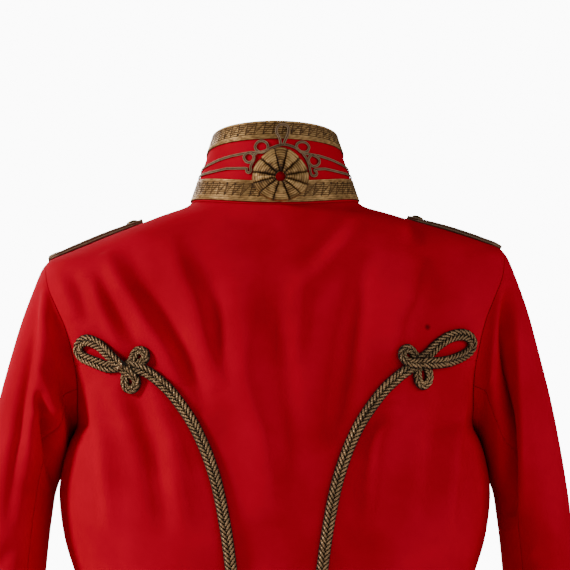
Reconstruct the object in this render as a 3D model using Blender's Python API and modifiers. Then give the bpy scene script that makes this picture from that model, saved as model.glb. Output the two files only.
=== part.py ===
"""Officer's dress tunic of scarlet cloth, filled out as worn and empty inside.

Up is +Z, the fronts face -Y and the wearer's left is +X.  The origin is the middle of the neck seam.
Tables give millimetres, which MM turns into Blender's metres, and degrees.
"""

import math
from collections import namedtuple

import bmesh
import bpy
import numpy as np
from mathutils import Vector
from mathutils.bvhtree import BVHTree

MM = 0.001
SEAM_GAP = 0.3 * MM  # between pieces that touch
SLEEVE_SEAM_GAP = 0.5 * MM  # the sleeve seams, which bend through the folds
CLOTH = 2.0 * MM  # thickness of the body and sleeve cloth with its backing
COLLAR_CLOTH = 3.0 * MM  # thickness of the stiffened collar
STEP = 1e-3  # small step for slopes, in radians, rings or stations

# ---------------------------------------------------------------- body
# One row for each ring round the body: its height at the side, at centre back and at centre front, its half
# width, its depth behind and before the side line, and its squareness (2 is an ellipse).
Ring = namedtuple("Ring", "side back front half_width back_depth front_depth squareness")
RINGS = [
    Ring(0, -10, -38, 77.5, 66, 66, 2.0),  # neck seam
    Ring(-5, -16, -44, 85, 70, 70, 2.05),
    Ring(-12, -23, -50, 107, 74, 75, 2.1),
    Ring(-20.5, -32, -57, 131, 78, 80, 2.15),
    Ring(-28.5, -41, -64, 154.5, 81, 85, 2.2),
    Ring(-35.5, -50, -72, 173.5, 84, 90, 2.25),
    Ring(-42.5, -60, -80, 192, 86.5, 94, 2.3),
    Ring(-50, -70, -88, 209, 89, 98, 2.4),  # shoulder point
    Ring(-62, -80, -96, 214.5, 92, 102, 2.55),
    Ring(-78, -92, -105, 217, 95.5, 106, 2.65),
    Ring(-96, -106, -116, 213.5, 99, 110, 2.7),
    Ring(-116, -121, -128, 207, 102.5, 114, 2.7),
    Ring(-140, -141, -144, 198.5, 106, 118, 2.7),
    Ring(-160, -160, -160, 192, 108.5, 121, 2.6),
    Ring(-178, -178, -178, 187, 110.5, 123, 2.5),
    Ring(-192, -192, -192, 184, 112, 124.5, 2.4),
    Ring(-207, -207, -207, 181, 113, 126, 2.35),  # underarm
    Ring(-222, -222, -222, 183, 114.5, 127, 2.3),
    Ring(-242, -242, -242, 188.5, 116, 128, 2.3),
    Ring(-270, -270, -270, 191, 116.5, 128, 2.3),  # chest
    Ring(-310, -310, -310, 187, 115, 125, 2.3),
    Ring(-355, -355, -355, 177, 110, 119, 2.3),
    Ring(-400, -400, -400, 168, 103, 112, 2.3),
    Ring(-440, -440, -440, 164, 99, 108, 2.3),  # waist
    Ring(-480, -480, -480, 168, 101, 109, 2.3),
    Ring(-530, -530, -530, 175, 108, 114, 2.3),
    Ring(-590, -590, -590, 184, 117, 120, 2.3),
    Ring(-670, -670, -670, 192, 126, 126, 2.3),  # hem
]
HEM = -670
SHOULDER_ROWS = 8  # rings from the neck seam to the shoulder point

# The armhole is an oval, deeper in front than behind.
ARM_TOP, ARM_BOTTOM = -50, -207
ARM_BACK_DEPTH, ARM_FRONT_DEPTH = 58, 68
MITRE_LIMIT = 0.62  # keeps the mitred edge from growing too long
ARM_STEP = 18  # degrees between the stations round an armhole and a sleeve

# Curved seam of the back: its distance from centre back at each height, from the armhole to the hem.
Seam = namedtuple("Seam", "height x")
BACK_SEAM = [
    Seam(-153.8, 166),
    Seam(-155, 150),
    Seam(-157, 135),
    Seam(-159.5, 124),
    Seam(-163, 116.5),
    Seam(-167.5, 110),
    Seam(-172.5, 104),
    Seam(-181.5, 94.6),
    Seam(-192, 86.3),
    Seam(-207, 76),
    Seam(-222, 68),
    Seam(-242, 59.5),
    Seam(-270, 51),
    Seam(-310, 43.5),
    Seam(-355, 38),
    Seam(-400, 34.3),
    Seam(-440, 32.8),
    Seam(-480, 33.5),
    Seam(-530, 35.5),
    Seam(-590, 39.5),
    Seam(HEM, 46),
]
SEAM_TOP = 6  # the station of the armhole, counted from its top, where the seam starts
SEAM_ACROSS = 7  # steps of the seam that run across, above the side piece of the back
SIDE_SEAM_TOP = [-237]  # heights of the side seam's points above the chest
LAP_OVER, LAP_UNDER = 16, 13  # how far each front passes centre front
LAP_RAISE = 3.0  # the over front stands this far above the under front
LAP_SPARE, LAP_SLOPE = 4, 16  # it is raised this far past the under front, and falls over this width

# ---------------------------------------------------------------- sleeve
# One row for each ring round the left sleeve: its outer and inner edge seen from behind, the middle of its
# depth, half its depth and its squareness.  The armhole comes before the first row.
Station = namedtuple("Station", "outer_x outer_z inner_x inner_z middle_y half_depth squareness")
SLEEVE = [
    Station(215.5, -57, 183.5, -211.5, -5, 63, 2.0),
    Station(223, -76, 187.5, -219, -5.5, 63, 2.05),
    Station(231.5, -100, 192, -228, -6, 62.5, 2.1),
    Station(238.5, -124, 196.5, -238, -6, 62, 2.15),
    Station(246.5, -155, 200.5, -251, -6, 62, 2.2),
    Station(253.5, -184, 203.5, -266, -6, 62, 2.2),
    Station(259.5, -214, 206, -284, -6, 62, 2.2),
    Station(265, -246, 208, -305, -6.5, 61.5, 2.2),
    Station(270, -282, 210, -332, -7, 61, 2.2),
    Station(274, -325, 211, -366, -7.5, 60, 2.2),
    Station(276, -375, 211, -404, -9, 58.5, 2.2),  # elbow
    Station(276, -430, 209, -448, -14, 56, 2.2),
    Station(274, -487, 206.5, -496, -21, 53.5, 2.2),
    Station(270, -543, 204, -548, -30, 51, 2.2),
    Station(266, -596, 202, -598, -38, 48.5, 2.2),
    Station(262, -645, 200, -645, -46, 46.5, 2.2),  # wrist
]
SLEEVE_FOLD_END = 400  # past the sleeves, whose folds run their whole length
HINDARM_SEAM, FOREARM_SEAM = 126, 252  # degrees round the sleeve from its top, through the back

# Folds: where each starts and ends seen from behind or before, its half width, its height (a trough is
# negative) and the face it lies on (1 behind, -1 in front).
Fold = namedtuple("Fold", "x1 z1 x2 z2 width height face")
BODY_FOLDS = [
    Fold(90, -46, 18, -215, 15, -3.5, 1),
    Fold(114, -69, 32, -234, 14, 2.5, 1),
    Fold(127, -71, 90, -141, 11, -3, 1),
    Fold(145, -85, 107, -141, 10, 2, 1),
    Fold(-62, -104, -37, -194, 15, -3.5, 1),
    Fold(-82, -84, -57, -153, 14, 2, 1),
    Fold(126, -192, 100, -300, 12, -3, 1),
    Fold(152, -215, 136, -320, 14, -3, 1),
    Fold(-128, -200, -110, -310, 13, -3, 1),
    Fold(-164, -225, -150, -320, 10, -3, 1),
    Fold(95, -60, 60, -190, 18, -3, -1),
    Fold(-95, -60, -60, -190, 18, -3, -1),
    Fold(120, -200, 80, -330, 16, -3, -1),
    Fold(-120, -200, -80, -330, 16, -3, -1),
]
BODY_FOLD_END = 163  # from the middle, where the body's folds have faded out
SLEEVE_FOLDS = [
    Fold(210, -86, 225, -250, 9, 5, 1),
    Fold(216, -96, 238, -250, 8, -5, 1),
    Fold(203, -190, 206, -275, 9, -9, 1),
    Fold(-208, -84, -209, -262, 9, -9, 1),
    Fold(-219, -90, -230, -250, 9, 4, 1),
    Fold(212, -110, 226, -260, 12, -5, -1),
    Fold(-212, -110, -226, -260, 12, -5, -1),
    Fold(238, -330, 262, -400, 12, -4, 1),
    Fold(-238, -330, -262, -400, 12, -4, 1),
]

# The wearer's left shoulder hangs a little lower.
DROOP = 0.029  # fall for each length sideways
DROOP_FROM, DROOP_FULL = 40, 190  # distances from the middle where it starts and is full
DROOP_TOP, DROOP_BOTTOM = -50, -250  # heights where it is full and gone

# ---------------------------------------------------------------- collar
COLLAR_TOP_HALF_WIDTH = 57
COLLAR_TOP_DEPTH = 60
COLLAR_TOP_SHIFT = -1  # the top ring stands forward
COLLAR_TOP_SIDE, COLLAR_TOP_RISE, COLLAR_TOP_FALL = 60, 7.5, 36  # height at the side, more behind, less before
COLLAR_RISE_POWER, COLLAR_FALL_POWER = 0.6, 1.4
COLLAR_FRONT_GAP = 3  # between the two front edges
LACE_TOP_WIDTH, LACE_BOTTOM_WIDTH = 17, 20
LACE_THICK, LACE_RIB = 0.9, 0.5  # the web, and how far its edge ribs stand above it
LACE_FROM_SEAM = 1.5

ROSETTE_X, ROSETTE_Z, ROSETTE_RADIUS, ROSETTE_HOLE = -3.9, 14.8, 25, 4.4
ROSETTE_HEIGHT = 0.91  # of its width
ROSETTE_PLEATS, ROSETTE_THICK, ROSETTE_PLEAT_RISE = 12, 1.6, 1.9
ROSETTE_LIFT = 1.9  # above the collar, so that it clears the lace below it

BRAID_WIDTH, BRAID_THICK, BRAID_LIFT = 2.6, 1.3, 0.4
# Loops of braid round the rosette: how far to the side of it, height, half width, half height and lift.
Loop = namedtuple("Loop", "name x z half_width half_height lift")
LOOPS = [
    Loop("large", 18.6, 42.6, 5.5, 5.2, BRAID_LIFT),
    Loop("middle", 29, 31.6, 5, 4.6, BRAID_LIFT),
    Loop("small", 29.4, 19.6, 2, 2, BRAID_LIFT),
]
TOP_LOOP = Loop("top", 0, 54.3, 4.8, 9.2, ROSETTE_LIFT)
TOP_LOOP_TAPER = 0.28  # how much narrower it is towards the rosette
# The two lines of braid that run from the loops to the front: place round the collar and share of its height.
LINES = {
    "upper": [(54.6, 0.605), (43, 0.56), (20, 0.51), (0, 0.49), (-40, 0.49), (-84, 0.5)],
    "lower": [(58.5, 0.43), (47, 0.41), (34, 0.395), (20, 0.385), (0, 0.39), (-20, 0.405), (-40, 0.415), (-84, 0.42)],
}
LINE_TURN = 3.2  # degrees by which their starts follow the rosette round the collar

# ---------------------------------------------------------------- cords
CORD_WIDTH, CORD_THICK, CORD_LIFT = 11, 5, 0.9
OVER_WIDTH, UNDER_WIDTH = 9.6, 8.8
CORD_PROFILE = [(-0.5, 0), (-0.44, 0.6), (-0.2, 1), (0.2, 1), (0.44, 0.6), (0.5, 0)]
# The two strands of each knot seen from behind: distance from the middle of the back, and height.  The long
# loop's strand crosses over the other and ends in the lower curl on the left, in the upper one on the right.
STRANDS = {
    ("left", "over"): [
        (149.8, -157), (156.9, -153.7), (165.5, -149.3), (172.8, -145), (176.1, -139), (173.5, -133.8),
        (169, -132), (163.9, -133.4), (157, -137.1), (151.1, -141.9), (145.2, -147.5), (140, -153.4),
        (135.5, -158.3), (130.7, -162.5), (125.9, -166.2), (122.5, -170.9), (122.3, -175.4), (124.5, -178.5),
        (128.4, -179.4), (131.9, -177.4), (133.7, -174.1), (133.6, -172.4),
    ],
    ("left", "under"): [
        (126.6, -153), (125.9, -148.5), (123.7, -145.1), (119.9, -144.1), (116.1, -145.6), (113.9, -149.2),
        (114.2, -153), (115, -155),
    ],
    ("right", "over"): [
        (137, -147.8), (140.5, -144), (146.4, -138.9), (153.1, -134.5), (160.4, -132.1), (167.1, -131.6),
        (172.6, -133.8), (175.7, -138.5), (174.4, -144), (169.3, -148.6), (161.8, -152), (153.9, -154.6),
        (146.4, -156.4), (139.2, -157.3), (131.3, -157.6), (123.5, -158), (117, -158), (112, -155.5),
        (109.8, -150.8), (111, -146.3), (114.9, -144.4), (118.9, -146), (120.6, -149.7),
    ],
    ("right", "under"): [
        (124.4, -165.2), (123.4, -169.4), (124.7, -174.7), (129.3, -177.7), (133.8, -175.4), (135.3, -171.3),
        (134.8, -167.3),
    ],
}
CORD_RUN = [(113, -165.3), (106.5, -170.4), (95.5, -180.5), (86.3, -192), (76, -207), (68, -222),
            (59.5, -242), (51, -270), (43.5, -310), (38, -355), (34.3, -400), (33, -436)]
CORD_SPACING = 11  # between the sections of a run
KNOT_SPACING = 5.5

SHOULDER_CORD_FROM, SHOULDER_CORD_TO = 122, 206
SHOULDER_CORD_NECK, SHOULDER_CORD_ARM = 11, 16.5  # its half width at the neck and at the arm
SHOULDER_CORD_Y, SHOULDER_CORD_THICK = -2, 4.4

# ---------------------------------------------------------------- buttons
FRONT_BUTTONS, FRONT_BUTTON_TOP, FRONT_BUTTON_BOTTOM = 8, -58, -440
BUTTON_RADIUS, BUTTON_HEIGHT = 9.5, 6.5
HIP_BUTTON_Z, HIP_BUTTON_X = -448, 32.6
SHOULDER_BUTTON_RADIUS, SHOULDER_BUTTON_HEIGHT = 5.5, 3
SHOULDER_BUTTON_X, SHOULDER_BUTTON_Y = 132, -7
BUTTON_SEGMENTS = 12

FAR = 1000 * MM  # where a probing ray starts
BESIDE = 0.8 * MM  # how far beside it the rays that help it run


def material(name, colour, roughness, metallic=0.0):
    """A plain material with a Principled shader."""
    made = bpy.data.materials.new(name)
    made.use_nodes = True
    shader = made.node_tree.nodes["Principled BSDF"]
    shader.inputs["Base Color"].default_value = (*colour, 1.0)
    shader.inputs["Roughness"].default_value = roughness
    shader.inputs["Metallic"].default_value = metallic
    return made


def smooth(value, low, high):
    """0 below low, 1 above high and a soft rise between."""
    t = np.clip((value - low) / (high - low), 0, 1)
    return t * t * (3 - 2 * t)


def spline(rows, at):
    """Rows read at fractional places, on a smooth curve through them."""
    rows = np.asarray(rows, float)
    at = np.clip(np.asarray(at, float), 0, len(rows) - 1)
    first = np.minimum(at.astype(int), len(rows) - 2)
    t = (at - first)[..., None]
    before, start, end, after = (rows[np.clip(first + k, 0, len(rows) - 1)] for k in (-1, 0, 1, 2))
    return 0.5 * (2 * start + (end - before) * t + (2 * before - 5 * start + 4 * end - after) * t**2
                  + (3 * start - before - 3 * end + after) * t**3)


def through(points, spacing):
    """Points a spacing apart on a smooth curve through the given ones."""
    fine = spline(points, np.linspace(0, len(points) - 1, 20 * len(points)))
    steps = np.linalg.norm(np.diff(fine, axis=0), axis=1)
    length = np.concatenate([[0], np.cumsum(steps)])
    at = np.linspace(0, length[-1], max(3, round(length[-1] / spacing) + 1))
    return np.stack([np.interp(at, length, fine[:, k]) for k in range(fine.shape[1])], axis=1)


def unit(vectors):
    """Vectors made one long."""
    return vectors / np.maximum(np.linalg.norm(vectors, axis=-1, keepdims=True), 1e-12)


def normals(surface, u, v):
    """Outward directions of a surface whose u runs anticlockwise from above and whose v runs down."""
    along_u = surface(u + STEP, v) - surface(u - STEP, v)
    along_v = surface(u, v + STEP) - surface(u, v - STEP)
    return unit(np.cross(along_v, along_u))


def settle(points):
    """The droop of the wearer's left shoulder."""
    x, z = points[..., 0], points[..., 2]
    share = smooth(np.abs(x), DROOP_FROM * MM, DROOP_FULL * MM) * smooth(z, DROOP_BOTTOM * MM, DROOP_TOP * MM)
    moved = points.copy()
    moved[..., 2] -= DROOP * x * share
    return moved


def ring_at(height):
    """The place among the rings, as a fraction, of a height at the side."""
    fine = np.linspace(0, len(RINGS) - 1, 40 * len(RINGS))
    return np.interp(-np.asarray(height, float), -spline(RINGS, fine)[:, 0], fine)


def torso(angle, ring):
    """The plain body: angle 0 is the wearer's left side, a quarter turn is centre back."""
    side, back, front, half, back_depth, front_depth, square = np.moveaxis(spline(RINGS, ring), -1, 0)
    c, s = np.cos(angle), np.sin(angle)
    behind = s >= 0
    x = half * np.sign(c) * np.abs(c) ** (2 / square)
    y = np.where(behind, back_depth, front_depth) * np.sign(s) * np.abs(s) ** (2 / square)
    z = side * c**2 + np.where(behind, back, front) * s**2
    return np.stack([x, y, z], axis=-1) * MM


def relief(points, facing, folds, end):
    """How far the folds lift each point of the cloth, fading out towards an end from the middle."""
    x, z = points[..., 0] / MM, points[..., 2] / MM
    lift = np.zeros_like(x)
    for f in folds:
        dx, dz = f.x2 - f.x1, f.z2 - f.z1
        share = ((x - f.x1) * dx + (z - f.z1) * dz) / (dx**2 + dz**2)
        nearest = np.clip(share, 0, 1)
        away = np.hypot(x - f.x1 - nearest * dx, z - f.z1 - nearest * dz)
        fade = np.sin(np.pi * nearest) ** 0.7 * np.clip(1.6 * f.face * facing[..., 1], 0, 1)
        lift += f.height * np.exp(-((away / f.width) ** 2)) * fade
    return lift * (1 - smooth(np.abs(x), end - 25, end)) * MM


def draped(surface, folds, end):
    """The same surface with its folds."""

    def folded(u, v):
        points = surface(u, v)
        facing = normals(surface, u, v)
        return points + facing * relief(points, facing, folds, end)[..., None]

    return folded


def armhole_angle(height, behind):
    """Angle round the body of the armhole's edge at a height."""
    middle, half = (ARM_TOP + ARM_BOTTOM) / 2, (ARM_TOP - ARM_BOTTOM) / 2
    depth = np.sqrt(np.clip(1 - ((height - middle) / half) ** 2, 0, 1))
    depth = depth * (ARM_BACK_DEPTH if behind else ARM_FRONT_DEPTH)
    row = spline(RINGS, ring_at(height))
    body = row[..., 4] if behind else row[..., 5]
    angle = np.arcsin((depth / body) ** (row[..., 6] / 2))
    return angle if behind else -angle


def armhole_height(theta):
    """Height of the armhole's edge at theta, which is 0 at the shoulder point and a quarter turn behind."""
    return (ARM_TOP + ARM_BOTTOM) / 2 + (ARM_TOP - ARM_BOTTOM) / 2 * np.cos(theta)


def armhole(theta):
    """Places of the left armhole: theta 0 is the shoulder point, a quarter turn is behind."""
    theta = np.mod(theta, 2 * np.pi)
    height = armhole_height(theta)
    angle = np.where(theta <= np.pi, armhole_angle(height, True), armhole_angle(height, False))
    return angle, ring_at(height)


def sleeve(theta, station):
    """The plain left sleeve: theta as at the armhole, station 0 is the armhole and the last is the wrist."""
    theta, station = np.broadcast_arrays(theta, station)
    c, s = np.cos(theta), np.sin(theta)
    rings = [torso(*armhole(theta))]
    for row in SLEEVE:
        across = np.sign(c) * np.abs(c) ** (2 / row.squareness)
        deep = np.sign(s) * np.abs(s) ** (2 / row.squareness)
        x = (row.outer_x + row.inner_x) / 2 + (row.outer_x - row.inner_x) / 2 * across
        z = (row.outer_z + row.inner_z) / 2 + (row.outer_z - row.inner_z) / 2 * across
        rings.append(np.stack([x, row.middle_y + row.half_depth * deep, z], axis=-1) * MM)
    rings = np.array(rings)
    at = np.clip(station, 0, len(SLEEVE))
    first = np.minimum(at.astype(int), len(SLEEVE) - 1)
    t = (at - first)[..., None]

    def pick(k):
        index = np.clip(first + k, 0, len(SLEEVE))
        return np.take_along_axis(rings, index[None, ..., None], axis=0)[0]

    before, start, end, after = (pick(k) for k in (-1, 0, 1, 2))
    return 0.5 * (2 * start + (end - before) * t + (2 * before - 5 * start + 4 * end - after) * t**2
                  + (3 * start - before - 3 * end + after) * t**3)


def sleeve_on(side):
    """The plain sleeve of the left (1) or right (-1) arm, round and down as the body's surfaces run."""
    mirror = np.array([side, 1, 1])
    return lambda theta, station: sleeve(side * theta, station) * mirror


def mitre(theta):
    """Direction of the left armhole's cut edge, half way between body and sleeve, and the way to the sleeve."""
    angle, ring = armhole(theta)
    body = normals(torso, angle, ring)
    arm = normals(sleeve, theta, np.full_like(theta, 3 * STEP))
    edge = torso(*armhole(theta + STEP)) - torso(*armhole(theta - STEP))
    middle = body + arm
    middle = unit(middle - unit(edge) * np.sum(middle * unit(edge), axis=-1, keepdims=True))
    way = unit(np.cross(middle, edge))
    way *= np.sign(np.sum(way * (sleeve(theta, np.full_like(theta, 0.3)) - torso(angle, ring)), axis=-1,
                          keepdims=True))
    length = 1 / np.maximum(np.sum(middle * body, axis=-1, keepdims=True), MITRE_LIMIT)
    return middle * length, way


def opened(points, facing, gap):
    """A grid of points with each edge drawn in by the gap, along the cloth and square to the edge."""
    made = points.copy()
    for axis, edge, inner in ((1, 0, 1), (1, -1, -2), (0, 0, 1), (0, -1, -2)):
        line, next_line = np.take(points, edge, axis), np.take(points, inner, axis)
        along = np.gradient(line, axis=0)
        way = unit(np.cross(np.take(facing, edge, axis), along))
        way *= np.sign(np.sum(way * (next_line - line), axis=-1, keepdims=True))
        if axis == 1:
            made[:, edge] += way * gap
        else:
            made[edge, :] += way * gap
    return made


def grid_mesh(name, outer, inner, finish, closed=False):
    """A wall between two grids of points, as one closed mesh object."""
    rows, columns = outer.shape[:2]
    count = rows * columns
    index = np.arange(count).reshape(rows, columns)
    if closed:
        index = np.concatenate([index, index[:1]])
    points = np.concatenate([outer.reshape(-1, 3), inner.reshape(-1, 3)])
    # Both sides of the wall are cut along the shorter diagonal of the outer one, so that they stay apart.
    a, b, c, d = (part.ravel() for part in (index[:-1, :-1], index[:-1, 1:], index[1:, 1:], index[1:, :-1]))
    short = (np.linalg.norm(points[a] - points[c], axis=1) < np.linalg.norm(points[b] - points[d], axis=1))[:, None]
    outside = np.concatenate([np.where(short, np.stack([a, b, c], -1), np.stack([a, b, d], -1)),
                              np.where(short, np.stack([a, c, d], -1), np.stack([b, c, d], -1))])
    faces = outside.tolist() + (outside[:, ::-1] + count).tolist()
    borders = [index[:, 0], index[:, -1]] if closed else [
        np.concatenate([index[0], index[1:, -1], index[-1, -2::-1], index[-2::-1, 0]])]
    for border in borders:
        faces += np.stack([border[1:], border[:-1], border[:-1] + count, border[1:] + count], -1).tolist()
    mesh = bpy.data.meshes.new(name)
    mesh.from_pydata(points.tolist(), [], faces)
    return add(name, mesh, finish)


def wall(name, outer, inner, finish, closed=False):
    """A wall between two grids of points that hangs with the body's droop."""
    return grid_mesh(name, settle(outer), settle(inner), finish, closed)


def add(name, mesh, finish):
    """An object of a closed mesh, its faces turned outwards and shaded smooth."""
    shape = bmesh.new()
    shape.from_mesh(mesh)
    bmesh.ops.recalc_face_normals(shape, faces=shape.faces)
    shape.to_mesh(mesh)
    shape.free()
    mesh.shade_smooth()
    mesh.set_sharp_from_angle(angle=math.radians(50))
    mesh.materials.append(finish)
    made = bpy.data.objects.new(name, mesh)
    tunic.objects.link(made)
    return made


def panel(name, angles, rings, finish, arm_edges, raised=None):
    """A piece of the body, with the gap at its edges and mitred edges along the armholes.

    arm_edges holds (first row, column, side, thetas): the places of the grid on an armhole.  A function of the
    points gives how far a part of the piece is raised.
    """
    surface = draped(torso, BODY_FOLDS, BODY_FOLD_END)
    points, facing = surface(angles, rings), normals(surface, angles, rings)
    for first, column, side, thetas in arm_edges:
        facing[first:first + len(thetas), column] = mitre(thetas)[0] * [side, 1, 1]
    outer = opened(points, facing, SEAM_GAP / 2)
    if raised:
        way = facing.copy()
        way[0, :, 2] = 0  # the neck edge moves out level, under the collar
        outer += unit(way) * raised(points)[..., None]
    return wall(name, outer, outer - facing * CLOTH, finish)


def between(start, end, columns):
    """Rows of angles from start to end, one for each row of the piece."""
    return start[:, None] + (end - start)[:, None] * np.linspace(0, 1, columns + 1)


def angle_at(x, height):
    """Angle round the body of a distance from the middle at a height."""
    row = spline(RINGS, ring_at(height))
    return np.arccos(np.clip((np.asarray(x) / row[..., 3]) ** (row[..., 6] / 2), 0, 1))


def arm_stations(first, last):
    """Theta of the armhole's stations from first to last."""
    return np.radians(ARM_STEP * np.arange(first, last + 1))


def build_back(finish):
    """The back, from the neck and shoulder seams down to the hem."""
    shoulder = np.array([r.side for r in RINGS[:SHOULDER_ROWS - 1]], float)
    thetas = arm_stations(0, SEAM_TOP)
    arm = armhole_height(thetas)
    seam = np.array([s.height for s in BACK_SEAM], float)
    heights = np.concatenate([shoulder, arm, seam])
    edge = np.concatenate([0 * shoulder, armhole_angle(arm, True), angle_at([s.x for s in BACK_SEAM], seam)])
    angles = between(edge, np.pi - edge, 18)
    first, last = len(shoulder), len(shoulder) + len(arm) + SEAM_ACROSS
    at_edge = ring_at(heights)
    at_middle = at_edge.copy()
    at_middle[first:last + 1] = np.linspace(at_edge[first], at_edge[last], last - first + 1)
    share = np.abs(np.linspace(-1, 1, angles.shape[1])) ** 3
    rings = at_middle[:, None] + (at_edge - at_middle)[:, None] * share
    panel("back", angles, rings, finish, [(first, 0, 1, thetas), (first, -1, -1, thetas)])


def build_side_backs(finish):
    """The two side pieces of the back, between its curved seams and the side seams."""
    thetas = arm_stations(SEAM_TOP, 10)
    arm = armhole_height(thetas)
    heights = np.concatenate([arm[:1], [s.height for s in BACK_SEAM]])
    seam = np.concatenate([armhole_angle(arm[:1], True), angle_at([s.x for s in BACK_SEAM], heights[1:])])
    down = slice(SEAM_ACROSS + 1, None)
    side_heights = np.concatenate([arm[1:], SIDE_SEAM_TOP])
    side_heights = np.concatenate([side_heights, heights[down][len(side_heights):]])
    side_edge = np.where(side_heights > ARM_BOTTOM, armhole_angle(side_heights, True), 0)
    left = np.vstack([seam[:SEAM_ACROSS + 1], between(side_edge, seam[down], SEAM_ACROSS)])
    rings = np.vstack([ring_at(heights[:SEAM_ACROSS + 1]),
                       between(ring_at(side_heights), ring_at(heights[down]), SEAM_ACROSS)])
    panel("side_back_left", left, rings, finish, [(0, 0, 1, thetas)])
    panel("side_back_right", np.pi - left[:, ::-1], rings[:, ::-1], finish, [(0, -1, -1, thetas)])


def lap(points):
    """How far the over front stands up near centre front."""
    near, far = (LAP_UNDER + LAP_SPARE) * MM, (LAP_UNDER + LAP_SPARE + LAP_SLOPE) * MM
    return (1 - smooth(points[..., 0], near, far)) * LAP_RAISE * MM


def build_fronts(finish):
    """The fronts: the wearer's left one laps over the right one."""
    thetas = arm_stations(0, 10)
    arm = armhole_height(thetas)
    shoulder = [r.side for r in RINGS[:SHOULDER_ROWS - 1]]
    body = [r.side for r in RINGS if r.side < ARM_BOTTOM]
    heights = np.concatenate([shoulder, arm, body])
    side_edge = np.zeros(len(heights))
    first = len(shoulder)
    side_edge[first:first + len(arm) - 1] = armhole_angle(arm[:-1], False)
    near, far = LAP_UNDER + LAP_SPARE, LAP_UNDER + LAP_SPARE + LAP_SLOPE
    over = [-np.pi + angle_at(LAP_OVER, heights), np.full(len(heights), -np.pi / 2), -angle_at(near, heights)]
    left = np.column_stack([*over, between(-angle_at(far, heights), side_edge, 8)])
    right = between(-np.pi - side_edge, -angle_at(LAP_UNDER, heights), 11)
    rings = np.broadcast_to(ring_at(heights)[:, None], left.shape)
    panel("front_left", left, rings, finish, [(first, -1, 1, -thetas)], lap)
    panel("front_right", right, rings, finish, [(first, 0, -1, -thetas)])


def build_sleeves(finish):
    """An upper and an under sleeve for each arm, sewn into the armhole."""
    whole = np.radians(np.arange(0, 360, ARM_STEP))
    middle, way = mitre(whole)
    stations = np.concatenate([[0, 0.5], np.arange(1, 11), [11, 12, 13, 14, 15, 16]]).astype(float)
    cuts = {
        "sleeve_under": np.arange(HINDARM_SEAM, FOREARM_SEAM + 1, ARM_STEP),
        "sleeve_upper": np.arange(FOREARM_SEAM, HINDARM_SEAM + 360 + 1, ARM_STEP),
    }
    for side, word in ((1, "left"), (-1, "right")):
        surface = draped(sleeve_on(side), SLEEVE_FOLDS, SLEEVE_FOLD_END)
        for name, degrees in cuts.items():
            theta = side * np.radians(degrees.astype(float))
            u, v = np.broadcast_arrays(theta[None, :], stations[:, None])
            points, facing = surface(u, v), normals(surface, u, v)
            pick = (degrees // ARM_STEP) % len(whole)
            facing[0] = middle[pick] * [side, 1, 1]
            outer = opened(points, facing, SLEEVE_SEAM_GAP / 2)
            outer[0] = torso(*armhole(np.radians(degrees.astype(float)))) * [side, 1, 1]
            outer[0] += way[pick] * [side, 1, 1] * SEAM_GAP
            for edge, inner in ((0, 1), (-1, -2)):
                outer[0, edge] += unit(outer[0, inner] - outer[0, edge]) * SEAM_GAP / 2
            wall(f"{name}_{word}", outer, outer - facing * CLOTH, finish)


def collar_surface(angle, down):
    """The collar's outside: down runs from 0 at its top edge to 1 at the neck seam."""
    angle, down = np.broadcast_arrays(angle, down)
    c, s = np.cos(angle), np.sin(angle)
    seam = torso(angle, np.zeros_like(angle))
    rise = COLLAR_TOP_RISE * np.abs(s) ** COLLAR_RISE_POWER
    fall = COLLAR_TOP_FALL * np.abs(s) ** COLLAR_FALL_POWER
    top = np.stack([COLLAR_TOP_HALF_WIDTH * c, COLLAR_TOP_SHIFT + COLLAR_TOP_DEPTH * s,
                    COLLAR_TOP_SIDE + np.where(s >= 0, rise, -fall)], axis=-1) * MM
    return top + (seam - top) * down[..., None]


def collar_angles():
    """Angles of the collar's sections, from one front edge round the back to the other."""
    start = math.degrees(math.asin(COLLAR_FRONT_GAP / 2 / COLLAR_TOP_HALF_WIDTH)) - 90
    return np.radians(np.concatenate([[start], np.arange(-80, 261, 10), [180 - start]]))


def collar_place(x, z):
    """Angle and share of the height of a place on the collar's back seen from behind."""
    angle, down = np.full_like(x, np.pi / 2), np.full_like(x, 0.5)
    for _ in range(12):
        half = COLLAR_TOP_HALF_WIDTH + (RINGS[0].half_width - COLLAR_TOP_HALF_WIDTH) * down
        angle = np.arccos(np.clip(x / half, -1, 1))
        top, seam = (collar_surface(angle, np.full_like(x, edge))[..., 2] / MM for edge in (0, 1))
        down = (top - z) / (top - seam)
    return angle, down


def build_collar(cloth, lace):
    """The stand collar, and the two bands of lace round it."""
    angles = collar_angles()
    height = np.linalg.norm(collar_surface(angles, np.zeros_like(angles))
                            - collar_surface(angles, np.ones_like(angles)), axis=-1) / MM
    down = np.stack([0 * height, 0 * height + 0.5, 1 - SEAM_GAP / MM / height])
    u = np.broadcast_to(angles, down.shape)
    points, facing = collar_surface(u, down), normals(collar_surface, u, down)
    wall("collar", points, points - facing * COLLAR_CLOTH, cloth)
    bands = {
        "collar_lace_top": (0 * height, LACE_TOP_WIDTH / height),
        "collar_lace_bottom": (1 - (LACE_BOTTOM_WIDTH + LACE_FROM_SEAM) / height, 1 - LACE_FROM_SEAM / height),
    }
    for name, (start, end) in bands.items():
        share = np.array([0, 0.1, 0.2, 0.8, 0.9, 1])[:, None]
        rib = np.array([0, 1, 0, 0, 1, 0])[:, None] * LACE_RIB
        down = start + (end - start) * share
        u = np.broadcast_to(angles, down.shape)
        points, facing = collar_surface(u, down), normals(collar_surface, u, down)
        under = points + facing * SEAM_GAP
        wall(name, under + facing * ((LACE_THICK + rib) * MM)[..., None], under, lace)


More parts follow.
